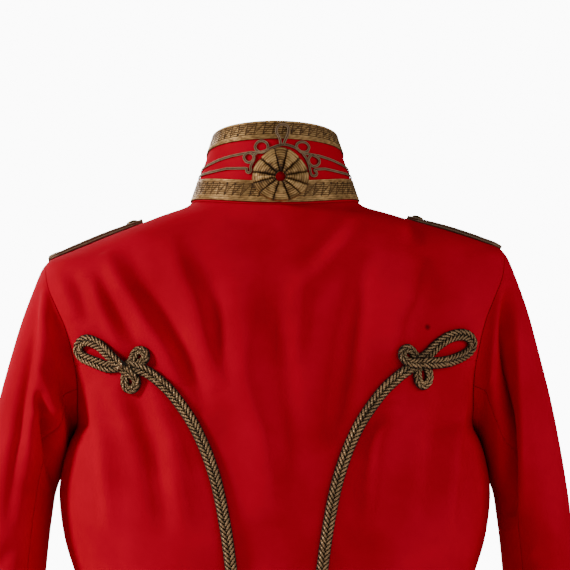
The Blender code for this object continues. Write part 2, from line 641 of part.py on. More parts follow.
def build_rosette(lace):
    """A ring of box pleats round a small hole, on the middle of the collar's back."""
    turns = np.radians(np.arange(0, 360, 360 / (4 * ROSETTE_PLEATS)))
    radii = np.array([ROSETTE_HOLE, 8.5, 17, ROSETTE_RADIUS])
    r, turn = np.meshgrid(radii, turns)
    x, z = ROSETTE_X + r * np.cos(turn), ROSETTE_Z + r * np.sin(turn) * ROSETTE_HEIGHT
    angle, down = collar_place(x, z)
    points, facing = collar_surface(angle, down), normals(collar_surface, angle, down)
    pleat = 0.5 + 0.5 * np.cos(ROSETTE_PLEATS * turn)
    rise = ROSETTE_THICK + ROSETTE_PLEAT_RISE * pleat * np.sin(np.pi * np.clip((r - 2) / 26, 0, 1))
    under = points + facing * ROSETTE_LIFT * MM
    wall("collar_rosette", under + facing * (rise * MM)[..., None], under, lace, closed=True)


def sweep(name, path, sideways, up, width, thick, finish, closed=False):
    """A cord with a flat base and a round back, carried along a path."""
    profile = np.array(CORD_PROFILE)
    rings = (path[:, None] + sideways[:, None] * (profile[None, :, :1] * width)
             + up[:, None] * (profile[None, :, 1:] * thick))
    rows, columns = rings.shape[:2]
    index = np.arange(rows * columns).reshape(rows, columns)
    index = np.concatenate([index, index[:, :1]], axis=1)
    if closed:
        index = np.concatenate([index, index[:1]])
    faces = np.stack([index[:-1, :-1], index[:-1, 1:], index[1:, 1:], index[1:, :-1]], -1).reshape(-1, 4).tolist()
    if not closed:
        faces += [index[0, :-1].tolist(), index[-1, -2::-1].tolist()]
    mesh = bpy.data.meshes.new(name)
    mesh.from_pydata(settle(rings.reshape(-1, 3)).tolist(), [], faces)
    return add(name, mesh, finish)


def collar_braid(name, angle, down, lift, finish, closed=False):
    """Braid sewn on the collar along a line of places."""
    points, up = collar_surface(angle, down), normals(collar_surface, angle, down)
    ahead = np.roll(points, -1, 0) - np.roll(points, 1, 0) if closed else np.gradient(points, axis=0)
    sweep(name, points + up * lift * MM, unit(np.cross(ahead, up)), up, BRAID_WIDTH * MM, BRAID_THICK * MM,
          finish, closed)


def build_braid(braid):
    """Loops round the rosette, and two lines on each side of the collar."""
    for side, word in ((1, "left"), (-1, "right")):
        for loop in LOOPS:
            turn = np.radians(np.arange(0, 360, 30 if loop.half_width > 3 else 45))
            x = ROSETTE_X + side * (loop.x + loop.half_width * np.cos(turn))
            angle, down = collar_place(x, loop.z + loop.half_height * np.sin(turn))
            collar_braid(f"collar_loop_{loop.name}_{word}", angle, down, loop.lift, braid, closed=True)
        for name, places in LINES.items():
            along, share = np.array(places, float)[::-1].T
            along = along + side * LINE_TURN * smooth(along, 20, 54)
            fine = spline(np.stack([along, share], -1), np.linspace(0, len(along) - 1, 200))
            sections = np.degrees(collar_angles())
            sections = sections[(sections > fine[0, 0] + 2) & (sections < fine[-1, 0] - 2)]
            at = np.concatenate([[fine[0, 0]], sections, [fine[-1, 0]]])
            angle = np.radians(at) if side > 0 else np.pi - np.radians(at)
            collar_braid(f"collar_braid_{name}_{word}", angle, 1 - np.interp(at, *fine.T), BRAID_LIFT, braid)
    turn = np.radians(np.arange(0, 360, 24))
    narrow = 1 - TOP_LOOP_TAPER * (1 - np.sin(turn)) / 2
    x = ROSETTE_X + TOP_LOOP.half_width * np.cos(turn) * narrow
    angle, down = collar_place(x, TOP_LOOP.z + TOP_LOOP.half_height * np.sin(turn))
    collar_braid("collar_loop_top", angle, down, TOP_LOOP.lift, braid, closed=True)


def ground(names):
    """The surface that the named objects make together, for laying things on it."""
    points, faces = [], []
    for name in names:
        mesh = bpy.data.objects[name].data
        faces += [[len(points) + k for k in polygon.vertices] for polygon in mesh.polygons]
        points += [vertex.co for vertex in mesh.vertices]
    return BVHTree.FromPolygons(points, faces)


def drop(surface, x, other, from_behind):
    """Where rays from behind at (x, z), or from above at (x, y), meet the surface.

    Each place is tried with its neighbours, so that a ray down a seam still finds the cloth beside it.
    """
    hits = []
    for a, b in zip(x, other):
        found = []
        for da, db in ((0, 0), (BESIDE, 0), (-BESIDE, 0), (0, BESIDE), (0, -BESIDE)):
            start = Vector((a + da, FAR, b + db)) if from_behind else Vector((a + da, b + db, FAR))
            way = Vector((0, -1, 0)) if from_behind else Vector((0, 0, -1))
            met = surface.ray_cast(start, way)[0]
            if met:
                found.append(met.y if from_behind else met.z)
        hits.append((a, max(found), b) if from_behind else (a, b, max(found)))
    return np.array(hits)


def laid(name, surface, flat, width, thick, finish):
    """A cord laid on the back along points (x, z) seen from behind."""
    path = settle(np.stack([flat[:, 0], 0 * flat[:, 0], flat[:, 1]], axis=-1))[:, [0, 2]]
    ahead = unit(np.gradient(path, axis=0))
    across = np.stack([ahead[:, 1], -ahead[:, 0]], axis=-1)
    middle = drop(surface, *path.T, True)
    right, left = (drop(surface, *(path + sign * across * width / 2).T, True) for sign in (1, -1))
    sideways = unit(right - left)
    up = unit(np.cross(np.gradient(middle, axis=0), sideways))
    up *= np.sign(up[:, 1:2])
    sideways = unit(sideways - up * np.sum(sideways * up, axis=-1, keepdims=True))
    rise = np.max([np.sum((p - middle) * up, axis=-1) for p in (middle, right, left)], axis=0)
    raised = middle + up * (rise + CORD_LIFT * MM)[:, None]
    profile = np.array(CORD_PROFILE)
    rings = (raised[:, None] + sideways[:, None] * (profile[None, :, :1] * width[:, None, None]
             if np.ndim(width) else profile[None, :, :1] * width) + up[:, None] * (profile[None, :, 1:] * thick))
    rows, columns = rings.shape[:2]
    index = np.arange(rows * columns).reshape(rows, columns)
    index = np.concatenate([index, index[:, :1]], axis=1)
    faces = np.stack([index[:-1, :-1], index[:-1, 1:], index[1:, 1:], index[1:, :-1]], -1).reshape(-1, 4).tolist()
    faces += [index[0, :-1].tolist(), index[-1, -2::-1].tolist()]
    mesh = bpy.data.meshes.new(name)
    mesh.from_pydata(rings.reshape(-1, 3).tolist(), [], faces)
    return add(name, mesh, finish)


def build_back_cords(cord):
    """A knot at each armhole and a cord down each back seam."""
    surface = ground(["back", "side_back_left", "side_back_right", "sleeve_upper_left", "sleeve_upper_right",
                      "sleeve_under_left", "sleeve_under_right"])
    for side, word in ((1, "left"), (-1, "right")):
        laid(f"back_cord_{word}", surface, through(np.array(CORD_RUN) * [side, 1] * MM, CORD_SPACING * MM),
             CORD_WIDTH * MM, CORD_THICK * MM, cord)
        for name, width in (("over", OVER_WIDTH), ("under", UNDER_WIDTH)):
            flat = through(np.array(STRANDS[word, name]) * [side, 1] * MM, KNOT_SPACING * MM)
            laid(f"knot_{name}_{word}", surface, flat, width * MM, CORD_THICK * MM, cord)


def build_shoulder_cords(cord, brass):
    """A flat plaited cord along each shoulder seam, with the button that fastens it."""
    surface = ground(["back", "front_left", "front_right"])
    for side, word in ((1, "left"), (-1, "right")):
        share = np.array([0, 0.06, 0.2, 0.4, 0.6, 0.8, 0.94, 1])
        x = SHOULDER_CORD_FROM + (SHOULDER_CORD_TO - SHOULDER_CORD_FROM) * share
        half = SHOULDER_CORD_NECK + (SHOULDER_CORD_ARM - SHOULDER_CORD_NECK) * share
        half = half * np.array([0.6, 0.88, 1, 1, 1, 1, 0.94, 0.78])
        across = np.array([-1, -0.6, -0.2, 0.2, 0.6, 1])
        y = SHOULDER_CORD_Y + half[:, None] * across
        x = np.broadcast_to(x[:, None] * side, y.shape)
        under = drop(surface, x.ravel() * MM, y.ravel() * MM, False).reshape(*y.shape, 3)
        under[..., 2] += CORD_LIFT * MM
        crown = 1 - 0.45 * np.abs(across) ** 3
        over = under.copy()
        over[..., 2] += SHOULDER_CORD_THICK * crown * MM
        made = grid_mesh(f"shoulder_cord_{word}", over, under, cord)
        place_on = ground([made.name])
        place = Vector(drop(place_on, [side * SHOULDER_BUTTON_X * MM], [SHOULDER_BUTTON_Y * MM], False)[0])
        facing = Vector((side * 0.34, -0.2, 1)).normalized()
        place = seat(place_on, place, facing, SHOULDER_BUTTON_RADIUS)
        button(f"shoulder_button_{word}", place, facing, SHOULDER_BUTTON_RADIUS, SHOULDER_BUTTON_HEIGHT, brass)


def seat(surface, place, facing, radius):
    """The lowest place for a button's base that clears the cloth under its whole rim."""
    tilt = facing.to_track_quat("Z", "Y")
    rise = 0
    for turn in np.radians(np.arange(0, 360, 360 / BUTTON_SEGMENTS)):
        rim = tilt @ Vector((radius * MM * math.cos(turn), radius * MM * math.sin(turn), 0))
        met = surface.ray_cast(place + rim + facing * 20 * MM, -facing)[0]
        if met:
            rise = max(rise, (met - place).dot(facing))
    return place + facing * (rise + SEAM_GAP)


def button(name, place, facing, radius, height, finish):
    """A domed button turned round its own axis."""
    outline = [(0, 1), (0.45, 0.93), (0.8, 0.68), (0.97, 0.36), (1, 0.12), (0.96, 0), (0, 0)]
    mesh = bpy.data.meshes.new(name)
    points = [(radius * r * MM, 0, height * h * MM) for r, h in outline]
    mesh.from_pydata(points, [(k, k + 1) for k in range(len(points) - 1)], [])
    mesh.materials.append(finish)
    made = bpy.data.objects.new(name, mesh)
    tunic.objects.link(made)
    turned = made.modifiers.new("Turned", "SCREW")
    turned.steps = turned.render_steps = BUTTON_SEGMENTS
    turned.use_merge_vertices = True
    turned.merge_threshold = 0.01 * MM
    made.location = Vector(place)
    made.rotation_mode = "QUATERNION"
    made.rotation_quaternion = Vector(facing).to_track_quat("Z", "Y")
    return made


def build_buttons(brass):
    """Buttons down the front, and one over the end of each back cord."""
    front = ground(["front_left"])
    for number, z in enumerate(np.linspace(FRONT_BUTTON_TOP, FRONT_BUTTON_BOTTOM, FRONT_BUTTONS), 1):
        hit = front.ray_cast(Vector((0, -FAR, z * MM)), Vector((0, 1, 0)))
        facing = Vector((0, hit[1].y, hit[1].z)).normalized()
        place = seat(front, hit[0], facing, BUTTON_RADIUS)
        button(f"front_button_{number}", place, facing, BUTTON_RADIUS, BUTTON_HEIGHT, brass)
    back = ground(["back", "side_back_left", "side_back_right"])
    for side, word in ((1, "left"), (-1, "right")):
        place = Vector(drop(back, [side * HIP_BUTTON_X * MM], [HIP_BUTTON_Z * MM], True)[0])
        facing = Vector((side * 0.09, 1, 0)).normalized()
        place = seat(back, place, facing, BUTTON_RADIUS)
        button(f"hip_button_{word}", place, facing, BUTTON_RADIUS, BUTTON_HEIGHT, brass)


for old in list(bpy.data.objects):
    bpy.data.objects.remove(old, do_unlink=True)
tunic = bpy.data.collections.new("dress_tunic")
bpy.context.scene.collection.children.link(tunic)

scarlet = material("scarlet_cloth", (0.62, 0.004, 0.018), 0.85)
gold_lace = material("gold_lace", (0.36, 0.22, 0.08), 0.5, 0.5)
gold_braid = material("gold_braid", (0.33, 0.22, 0.1), 0.5, 0.5)
gimp_cord = material("gimp_cord", (0.2, 0.13, 0.06), 0.55, 0.4)
button_brass = material("button_brass", (0.6, 0.42, 0.16), 0.3, 1.0)

build_back(scarlet)
build_side_backs(scarlet)
build_fronts(scarlet)
build_sleeves(scarlet)
build_collar(scarlet, gold_lace)
build_rosette(gold_lace)
build_braid(gold_braid)
build_back_cords(gimp_cord)
build_shoulder_cords(gimp_cord, button_brass)
build_buttons(button_brass)
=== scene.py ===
"""Officer's dress tunic of scarlet cloth: the finished look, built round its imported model.

Up is +Z, the fronts face -Y and the wearer's left is +X.  Tables give millimetres and degrees, and MM turns
the millimetres into metres.
"""

import logging
import math
from collections.abc import Callable, Sequence
from dataclasses import dataclass, field
from enum import Enum
from typing import NamedTuple

import bmesh
import bpy
import numpy as np
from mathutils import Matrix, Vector
from mathutils.bvhtree import BVHTree


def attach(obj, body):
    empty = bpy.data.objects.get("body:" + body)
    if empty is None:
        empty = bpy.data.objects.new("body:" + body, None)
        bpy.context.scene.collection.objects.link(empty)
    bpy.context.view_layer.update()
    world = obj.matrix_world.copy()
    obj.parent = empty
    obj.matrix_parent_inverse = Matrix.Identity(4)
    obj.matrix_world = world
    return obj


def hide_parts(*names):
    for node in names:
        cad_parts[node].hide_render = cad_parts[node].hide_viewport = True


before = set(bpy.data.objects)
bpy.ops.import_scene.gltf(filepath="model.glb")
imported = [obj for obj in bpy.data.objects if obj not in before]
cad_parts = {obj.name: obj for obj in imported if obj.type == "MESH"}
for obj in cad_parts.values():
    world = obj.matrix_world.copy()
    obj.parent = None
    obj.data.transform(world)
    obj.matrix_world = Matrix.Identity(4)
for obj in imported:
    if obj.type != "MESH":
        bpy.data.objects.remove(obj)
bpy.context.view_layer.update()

Array = np.ndarray
Surface = Callable[[Array, Array], Array]
Socket = bpy.types.NodeSocket
LOG = logging.getLogger("tunic")

MM = 0.001
CLOTH = 2.0 * MM
COLLAR_CLOTH = 3.0 * MM
SEAM_GAP = 0.05 * MM  # between two pieces of the body
ARM_GAP = 0.25 * MM  # between a sleeve's edge and the middle of its seam
SEAM_SINK = 0.5 * MM  # how far an edge sinks into its seam
STEP = 1e-3  # the small change over which a slope is taken
ROW_STEP = 4.0  # between the rows of a fine piece
ARM_STEP = 2.25  # degrees between the columns of a sleeve
SHARP_ANGLE = 58  # degrees between two faces, from which their edge is sharp
FLIPPED = [0, 3, 2, 1]  # a face's corners the other way round, from the same first one


class Side(Enum):
    """One side of the wearer, with its sign along X."""

    LEFT = 1
    RIGHT = -1

    @property
    def word(self) -> str:
        """The side's name in the names of pieces."""
        return self.name.lower()


# ------------------------------------------------------------------ the garment's sizes
class Ring(NamedTuple):
    """One ring round the body: heights, half width, depths and squareness."""

    side: float
    back: float
    front: float
    half_width: float
    back_depth: float
    front_depth: float
    squareness: float


RINGS = [Ring(*row) for row in (
    (0, -10, -38, 77.5, 66, 66, 2.0), (-5, -16, -44, 85, 70, 70, 2.05), (-12, -23, -50, 107, 74, 75, 2.1),
    (-20.5, -32, -57, 131, 78, 80, 2.15), (-28.5, -41, -64, 154.5, 81, 85, 2.2),
    (-35.5, -50, -72, 173.5, 84, 90, 2.25), (-42.5, -60, -80, 192, 86.5, 94, 2.3),
    (-50, -70, -88, 209, 89, 98, 2.4), (-62, -80, -96, 214.5, 92, 102, 2.55),
    (-78, -92, -105, 217, 95.5, 106, 2.65), (-96, -106, -116, 213.5, 99, 110, 2.7),
    (-116, -121, -128, 207, 102.5, 114, 2.7), (-140, -141, -144, 198.5, 106, 118, 2.7),
    *((level, level, level, *rest) for level, *rest in (
        (-160, 192, 108.5, 121, 2.6), (-178, 187, 110.5, 123, 2.5), (-192, 184, 112, 124.5, 2.4),
        (-207, 181, 113, 126, 2.35), (-222, 188, 114.5, 127, 2.3), (-242, 193.5, 116, 128, 2.3),
        (-270, 196.5, 116.5, 128, 2.3), (-310, 191, 115, 125, 2.3), (-355, 177, 110, 119, 2.3),
        (-400, 168, 103, 112, 2.3), (-440, 164, 99, 108, 2.3), (-480, 168, 101, 109, 2.3),
        (-530, 175, 108, 114, 2.3), (-590, 184, 117, 120, 2.3), (-670, 192, 126, 126, 2.3))))]
HEM = -670
ARM_RING = 7  # the ring at the shoulder point
ARM_TOP, ARM_BOTTOM, ARM_BACK_DEPTH, ARM_FRONT_DEPTH = -50, -207, 58, 68
ARM_FADE_FROM, ARM_FADE = 120, 1.22  # from where the body's creases fade out towards the armhole
ARM_MIDDLE, ARM_HALF = (ARM_TOP + ARM_BOTTOM) / 2, (ARM_TOP - ARM_BOTTOM) / 2
MITRE_LIMIT = 0.62  # the least share of its way that a mitred edge takes along a face

# The curved seam of the back: its distance from centre back at each height.
BACK_SEAM = [(-153.8, 166), (-155, 150), (-157, 135), (-159.5, 124), (-163, 116.5), (-167.5, 110),
             (-172.5, 104), (-181.5, 94.6), (-192, 86.3), (-207, 76), (-222, 68), (-242, 59.5), (-270, 51),
             (-310, 43.5), (-355, 38), (-400, 34.3), (-440, 32.8), (-480, 33.5), (-530, 35.5), (-590, 39.5),
             (HEM, 46)]
SEAM_ARM_ANGLE = 108  # degrees round the armhole, from its top, where that seam starts
SEAM_TURN = 6  # the point of the seam where it stops running across
SIDE_HEIGHTS = [-207, -237, -270]  # of the side seam against points 10 to 12 of the curved seam
# How far the over and the under front pass the middle, how high the over one lies there, how far it does so
# past the under one's edge, and the width of the slope down from there.
LAP_OVER, LAP_UNDER, LAP_RAISE, LAP_SPARE, LAP_SLOPE = 16, 13, 3.0, 4, 16


class Station(NamedTuple):
    """One ring round the left sleeve: edges seen from behind, middle and half depth, squareness."""

    outer_x: float
    outer_z: float
    inner_x: float
    inner_z: float
    middle_y: float
    half_depth: float
    squareness: float


SLEEVE = [Station(*row) for row in (
    (215.5, -57, 183.5, -211.5, -5, 63, 2.0), (223, -76, 187.5, -219, -5.5, 63, 2.05),
    (231.5, -100, 190, -229, -6, 62.5, 2.1), (238.5, -124, 193.2, -240, -6, 62, 2.15),
    (246.5, -155, 196.5, -253, -6, 62, 2.2), (253.5, -184, 201, -268, -6, 62, 2.2),
    (259.5, -214, 203.5, -286, -6, 62, 2.2), (265, -246, 206, -306, -6.5, 61.5, 2.2),
    (270, -282, 208.5, -333, -7, 61, 2.2), (274, -325, 211, -366, -7.5, 60, 2.2),
    (276, -375, 211, -404, -9, 58.5, 2.2), (276, -430, 209, -448, -14, 56, 2.2),
    (274, -487, 206.5, -496, -21, 53.5, 2.2), (270, -543, 204, -548, -30, 51, 2.2),
    (266, -596, 202, -598, -38, 48.5, 2.2), (262, -645, 200, -645, -46, 46.5, 2.2))]
HINDARM_SEAM, FOREARM_SEAM = 126, 252  # degrees round the sleeve

# The lower left shoulder: its drop as a share of x, and the distances from the middle and the heights between
# which it fades in.
DROOP, DROOP_FROM, DROOP_FULL, DROOP_TOP, DROOP_BOTTOM = 0.029, 40, 190, -50, -250

# The collar's top edge: its half sizes, its place, and how it rises behind and falls in front.
COLLAR_TOP_HALF_WIDTH, COLLAR_TOP_DEPTH, COLLAR_TOP_SHIFT = 57, 60, -1
COLLAR_TOP_SIDE, COLLAR_TOP_RISE, COLLAR_TOP_FALL = 60, 7.5, 36
COLLAR_RISE_POWER, COLLAR_FALL_POWER, COLLAR_FRONT_GAP = 0.6, 1.4, 3
LACE_TOP_WIDTH, LACE_BOTTOM_WIDTH, LACE_THICK, LACE_FROM_SEAM = 17, 20, 0.9, 1.5


class Crease(NamedTuple):
    """A soft fold of the cloth: its line seen from behind or before, its half widths and its height."""

    line: Sequence[tuple[float, float]]
    left: float  # half width on the left of the line as it runs
    right: float
    height: float  # a trough is negative
    face: int = 1  # 1 behind, -1 in front


def waist_and_skirt() -> list[Crease]:
    """The waist, drawn in, and the flutes of the skirt below it, nearly alike behind and in front.

    Returns:
        The creases.
    """
    rows = (
        (166, -398, 96, -424, 6, -1.8), (-168, -404, -92, -420, 6, -1.8), (164, -418, 106, -446, 6, 1.6),
        (-166, -424, -112, -440, 5, 1.5), (162, -448, 84, -452, 6, -1.6), (-160, -452, -90, -446, 6, -1.6),
        (128, -456, 150, -668, 17, 3.4), (94, -458, 104, -668, 15, -3.2), (62, -462, 66, -668, 15, 2.6),
        (-120, -452, -148, -668, 16, 3.2), (-90, -460, -106, -668, 16, -3.4), (-58, -456, -64, -668, 14, 2.4),
        (16, -470, 18, -668, 14, -1.8), (-20, -476, -22, -668, 13, -1.6), (150, -300, 118, -390, 10, -2.2),
        (-150, -306, -116, -388, 11, -2.2), (34, -300, 26, -400, 14, -1.6), (-30, -310, -24, -404, 13, -1.4))
    return [Crease([(x1 + 3 * face, z1), (x2 - 2 * face, z2)], width, width, height, face)
            for face in (1, -1) for x1, z1, x2, z2, width, height in rows]


def elbow_and_forearm() -> list[Crease]:
    """The creases at the bend of the elbow and down the forearm, nearly alike on both arms.

    Returns:
        The creases.
    """
    rows = (
        (232, -318, 268, -352, 8, -4), (226, -338, 266, -378, 8, 3.4), (216, -352, 258, -404, 9, -4.6),
        (214, -386, 250, -436, 9, 3.6), (216, -420, 246, -474, 10, -3.6), (262, -400, 240, -470, 11, 2.4),
        (214, -470, 238, -536, 10, -2.6), (256, -500, 226, -590, 12, 2.2), (246, -560, 216, -630, 10, -2))
    return [Crease([(side * (x1 - 2), z1 + 5 * face * side), (side * x2, z2 - 5 * face * side)],
                   width, width, height, face)
            for side in (1, -1) for face in (1, -1) for x1, z1, x2, z2, width, height in rows]


BODY_CREASES = [Crease(*row) for row in (
    ([(166, -72), (157, -100), (147, -123), (136, -150)], 6, 6, 4.1),
    ([(160, -66), (144, -100), (132, -123), (116, -152)], 6, 6, -4.1),
    ([(154, -48), (141, -78), (127, -100), (114, -123), (99, -145), (84, -178)], 9, 7, 6.7),
    ([(136, -46), (120, -78), (106, -100), (94, -123), (82, -145), (73, -167), (61, -204)], 8, 9, -6.7),
    ([(96, -38), (84, -78), (74, -100), (67, -123), (61, -145), (47, -182)], 14, 8, 7.2),
    ([(76, -44), (60, -78), (53, -110), (50, -145), (43, -182)], 8, 10, -2.9),
    ([(28, -78), (26, -123), (29, -145), (29, -167), (24, -190), (16, -212), (9, -234), (2, -300)],
     22, 14, 7.2),
    ([(0, -60), (-1, -100), (-1, -145), (-6, -190), (-9, -260)], 12, 12, -3.5),
    ([(-22, -66), (-21, -100), (-20, -123), (-18, -158)], 7, 6, 2.6),
    ([(-79, -50), (-75, -78), (-73, -100), (-68, -123), (-64, -145), (-61, -167), (-57, -190),
      (-50, -235)], 10, 14, -6.1),
    ([(-130, -60), (-123, -100), (-113, -123), (-108, -165)], 16, 9, 5.2),
    ([(-100, -190), (-97, -212), (-89, -234), (-82, -310)], 8, 14, 5.8),
    ([(-148, -172), (-140, -212), (-135, -234), (-128, -310)], 7, 7, -4.1),
    ([(-174, -168), (-163, -212), (-158, -234), (-152, -310)], 8, 6, 5.8),
    ([(-176, -196), (-174, -212), (-172, -260)], 4, 4, -2.9),
    ([(166, -172), (158, -212), (153, -234), (147, -310)], 6, 8, 5.8),
    ([(148, -176), (130, -212), (117, -256)], 8, 8, 2.9),
    ([(132, -172), (117, -212), (109, -234), (98, -310)], 9, 8, -7.5),
    ([(112, -172), (96, -212), (89, -234), (80, -310)], 7, 8, 5.2),
    ([(200, -60), (192, -84), (181, -112)], 8, 8, 2.6),
    ([(184, -66), (175, -92), (168, -118)], 6, 6, -3.5),
    ([(46, -24), (13, -30), (-5, -28)], 7, 8, -1.7),
    ([(-76, -24), (-66, -42), (-46, -65), (-23, -89), (-4, -114)], 7, 9, 3.5),
    ([(-68, -14), (-56, -32), (-39, -54), (-19, -73)], 8, 8, -2.6),
    ([(-117, -18), (-121, -31), (-124, -50)], 6, 5, 2.9),
    ([(150, -50), (110, -100), (84, -170), (72, -240)], 13, 11, 2.6, -1),
    ([(128, -44), (92, -96), (66, -160), (54, -220)], 11, 13, -3.0, -1),
    ([(-146, -52), (-108, -108), (-86, -176), (-76, -236)], 12, 11, -2.8, -1),
    ([(-166, -66), (-130, -122), (-108, -190), (-100, -260)], 11, 12, 2.6, -1),
    ([(172, -190), (140, -250), (112, -330), (92, -400)], 9, 12, -3.0, -1),
    ([(152, -196), (118, -260), (92, -330), (70, -396)], 10, 12, 2.4, -1),
    ([(-170, -186), (-142, -246), (-118, -320), (-96, -392)], 12, 9, -3.0, -1),
    ([(-150, -190), (-122, -250), (-96, -326), (-74, -400)], 12, 10, 2.6, -1))] + waist_and_skirt()

SLEEVE_CREASES = [Crease(*row) for row in (
    ([(211, -74), (214, -92), (221, -139), (226, -183), (229, -214), (234, -240), (240, -300)],
     6, 7, -6.5),
    ([(207, -66), (208, -84), (209, -136), (213, -160), (217, -184), (220, -207), (221, -220),
      (219, -262)], 7, 6, 5.5),
    ([(208, -80), (204, -116), (201, -152), (201, -196)], 11, 6, 5.5),
    ([(192, -188), (197, -193), (206, -197), (212, -197), (218, -204)], 4, 4, 2.6),
    ([(214, -178), (208, -202), (204.5, -222), (202, -244), (199, -270)], 3.5, 4.5, -13),
    ([(211, -150), (203, -185), (196.5, -208), (195, -232), (198, -272)], 7, 7, 9),
    ([(192, -214), (196, -240), (204, -262)], 4, 4, -1),
    ([(-210, -82), (-208, -109), (-206.5, -125), (-205, -147), (-205, -167), (-206, -180),
      (-208.5, -204), (-209, -228), (-208, -290)], 5, 7, -21),
    ([(-215, -80), (-216, -125), (-217, -167), (-218, -228), (-219, -290)], 6, 6, 4.5),
    ([(-199, -96), (-196, -130), (-194, -165), (-199, -205)], 6, 6, 4.5),
    ([(-206, -226), (-208, -262), (-210, -300)], 6, 6, -8),
    ([(-236, -120), (-238, -180), (-242, -250)], 9, 9, -2.6),
    ([(212, -100), (222, -180), (226, -270)], 8, 9, -7, -1),
    ([(203, -96), (211, -176), (214, -260)], 7, 7, 4.5, -1),
    ([(-211, -96), (-220, -170), (-226, -280)], 9, 8, -7, -1),
    ([(-202, -110), (-210, -190), (-213, -262)], 7, 7, 4.5, -1))] + elbow_and_forearm()


# ------------------------------------------------------------------ curves and surfaces
def smooth(value: Array, low: float, high: float) -> Array:
    """A soft step from 0 at low to 1 at high: t * t * (3 - 2 t), with t the share of the way."""
    t = np.clip((value - low) / (high - low), 0, 1)
    return t * t * (3 - 2 * t)


def catmull_rom(before: Array, start: Array, end: Array, after: Array, t: Array) -> Array:
    """The cubic in t from start to end, with slopes (end - before) / 2 and (after - start) / 2."""
    return 0.5 * (2 * start + (end - before) * t + (2 * before - 5 * start + 4 * end - after) * t**2
                  + (3 * start - before - 3 * end + after) * t**3)


def spline(rows: Sequence, at: Array) -> Array:
    """Rows of a table read between its lines, on the Catmull-Rom curve through them.

    Args:
        rows: The table.
        at: Fractional places in it.

    Returns:
        One row for each place.
    """
    rows = np.asarray(rows, float)
    at = np.clip(np.asarray(at, float), 0, len(rows) - 1)
    first = np.minimum(at.astype(int), len(rows) - 2)
    t = (at - first).reshape(at.shape + (1,) * (rows.ndim - 1))
    return catmull_rom(*(rows[np.clip(first + k, 0, len(rows) - 1)] for k in (-1, 0, 1, 2)), t)


def finer(rows: Sequence, factor: int) -> Array:
    """A table with factor times as many rows, read off the smooth curve through its own."""
    return spline(rows, np.linspace(0, len(rows) - 1, factor * len(rows)))


def so_far(points: Array) -> Array:
    """How far each point lies along the line of all points, summed from their distances."""
    return np.concatenate([[0], np.cumsum(np.linalg.norm(np.diff(points, axis=0), axis=1))])


def read(at: Array, places: Array, rows: Array) -> Array:
    """Rows of a table at new places, straight between its own rows, which lie at places."""
    return np.stack([np.interp(at, places, column) for column in rows.T], axis=1)


def through(points: Sequence, spacing: float, measured: slice = slice(None)) -> Array:
    """Points an even spacing apart on a smooth curve.

    Args:
        points: The points that the curve runs through.
        spacing: How far apart the new ones lie.
        measured: The columns that count as distance.

    Returns:
        The new points.
    """
    fine = finer(points, 24)
    length = so_far(fine[:, measured])
    return read(np.linspace(0, length[-1], max(3, round(length[-1] / spacing) + 1)), length, fine)


def unit(vectors: Array) -> Array:
    """The same directions, one long."""
    return vectors / np.maximum(np.linalg.norm(vectors, axis=-1, keepdims=True), 1e-12)


def ahead_of(path: Array, closed: bool = False) -> Array:
    """Directions along a path, each from the points before and after it."""
    return unit(np.roll(path, -1, 0) - np.roll(path, 1, 0) if closed else np.gradient(path, axis=0))


def beside(path: Array, up: Array, closed: bool = False) -> Array:
    """Directions to the right of a path, square to it and to up."""
    return unit(np.cross(ahead_of(path, closed), up))


def normals(surface: Surface, u: Array, v: Array) -> Array:
    """Outward directions of a surface: the cross product of its slopes along v and u.

    Args:
        surface: Its u runs anticlockwise seen from above and its v runs down.
        u: Places round it.
        v: Places down it.

    Returns:
        One direction for each place.
    """
    along_u = surface(u + STEP, v) - surface(u - STEP, v)
    along_v = surface(u, v + STEP) - surface(u, v - STEP)
    return unit(np.cross(along_v, along_u))


def settle(points: Array) -> Array:
    """Let the wearer's left shoulder hang lower: z falls by DROOP times x, faded in sideways and upwards.

    Args:
        points: Points of the garment.

    Returns:
        The moved points.
    """
    x, z = points[..., 0], points[..., 2]
    share = smooth(np.abs(x), DROOP_FROM * MM, DROOP_FULL * MM)
    share = share * smooth(z, DROOP_BOTTOM * MM, DROOP_TOP * MM)
    moved = points.copy()
    moved[..., 2] -= DROOP * x * share
    return moved


def ring_at(height: Array) -> Array:
    """Fractional places among the rings for heights at the side of the body."""
    places = np.linspace(0, len(RINGS) - 1, 40 * len(RINGS))
    return np.interp(-np.asarray(height, float), -spline(RINGS, places)[:, 0], places)


def torso(angle: Array, ring: Array) -> Array:
    """The plain body: superellipses x = a |cos|^(2/n), y = b |sin|^(2/n), and heights from side to middle.

    Args:
        angle: 0 is the wearer's left side, a quarter turn is centre back.
        ring: Fractional places among the rings.

    Returns:
        Points in metres.
    """
    side, back, front, half, back_depth, front_depth, square = np.moveaxis(spline(RINGS, ring), -1, 0)
    c, s = np.cos(angle), np.sin(angle)
    behind = s >= 0
    x = half * np.sign(c) * np.abs(c) ** (2 / square)
    y = np.where(behind, back_depth, front_depth) * np.sign(s) * np.abs(s) ** (2 / square)
    z = side * c**2 + np.where(behind, back, front) * s**2
    return np.stack([x, y, z], axis=-1) * MM


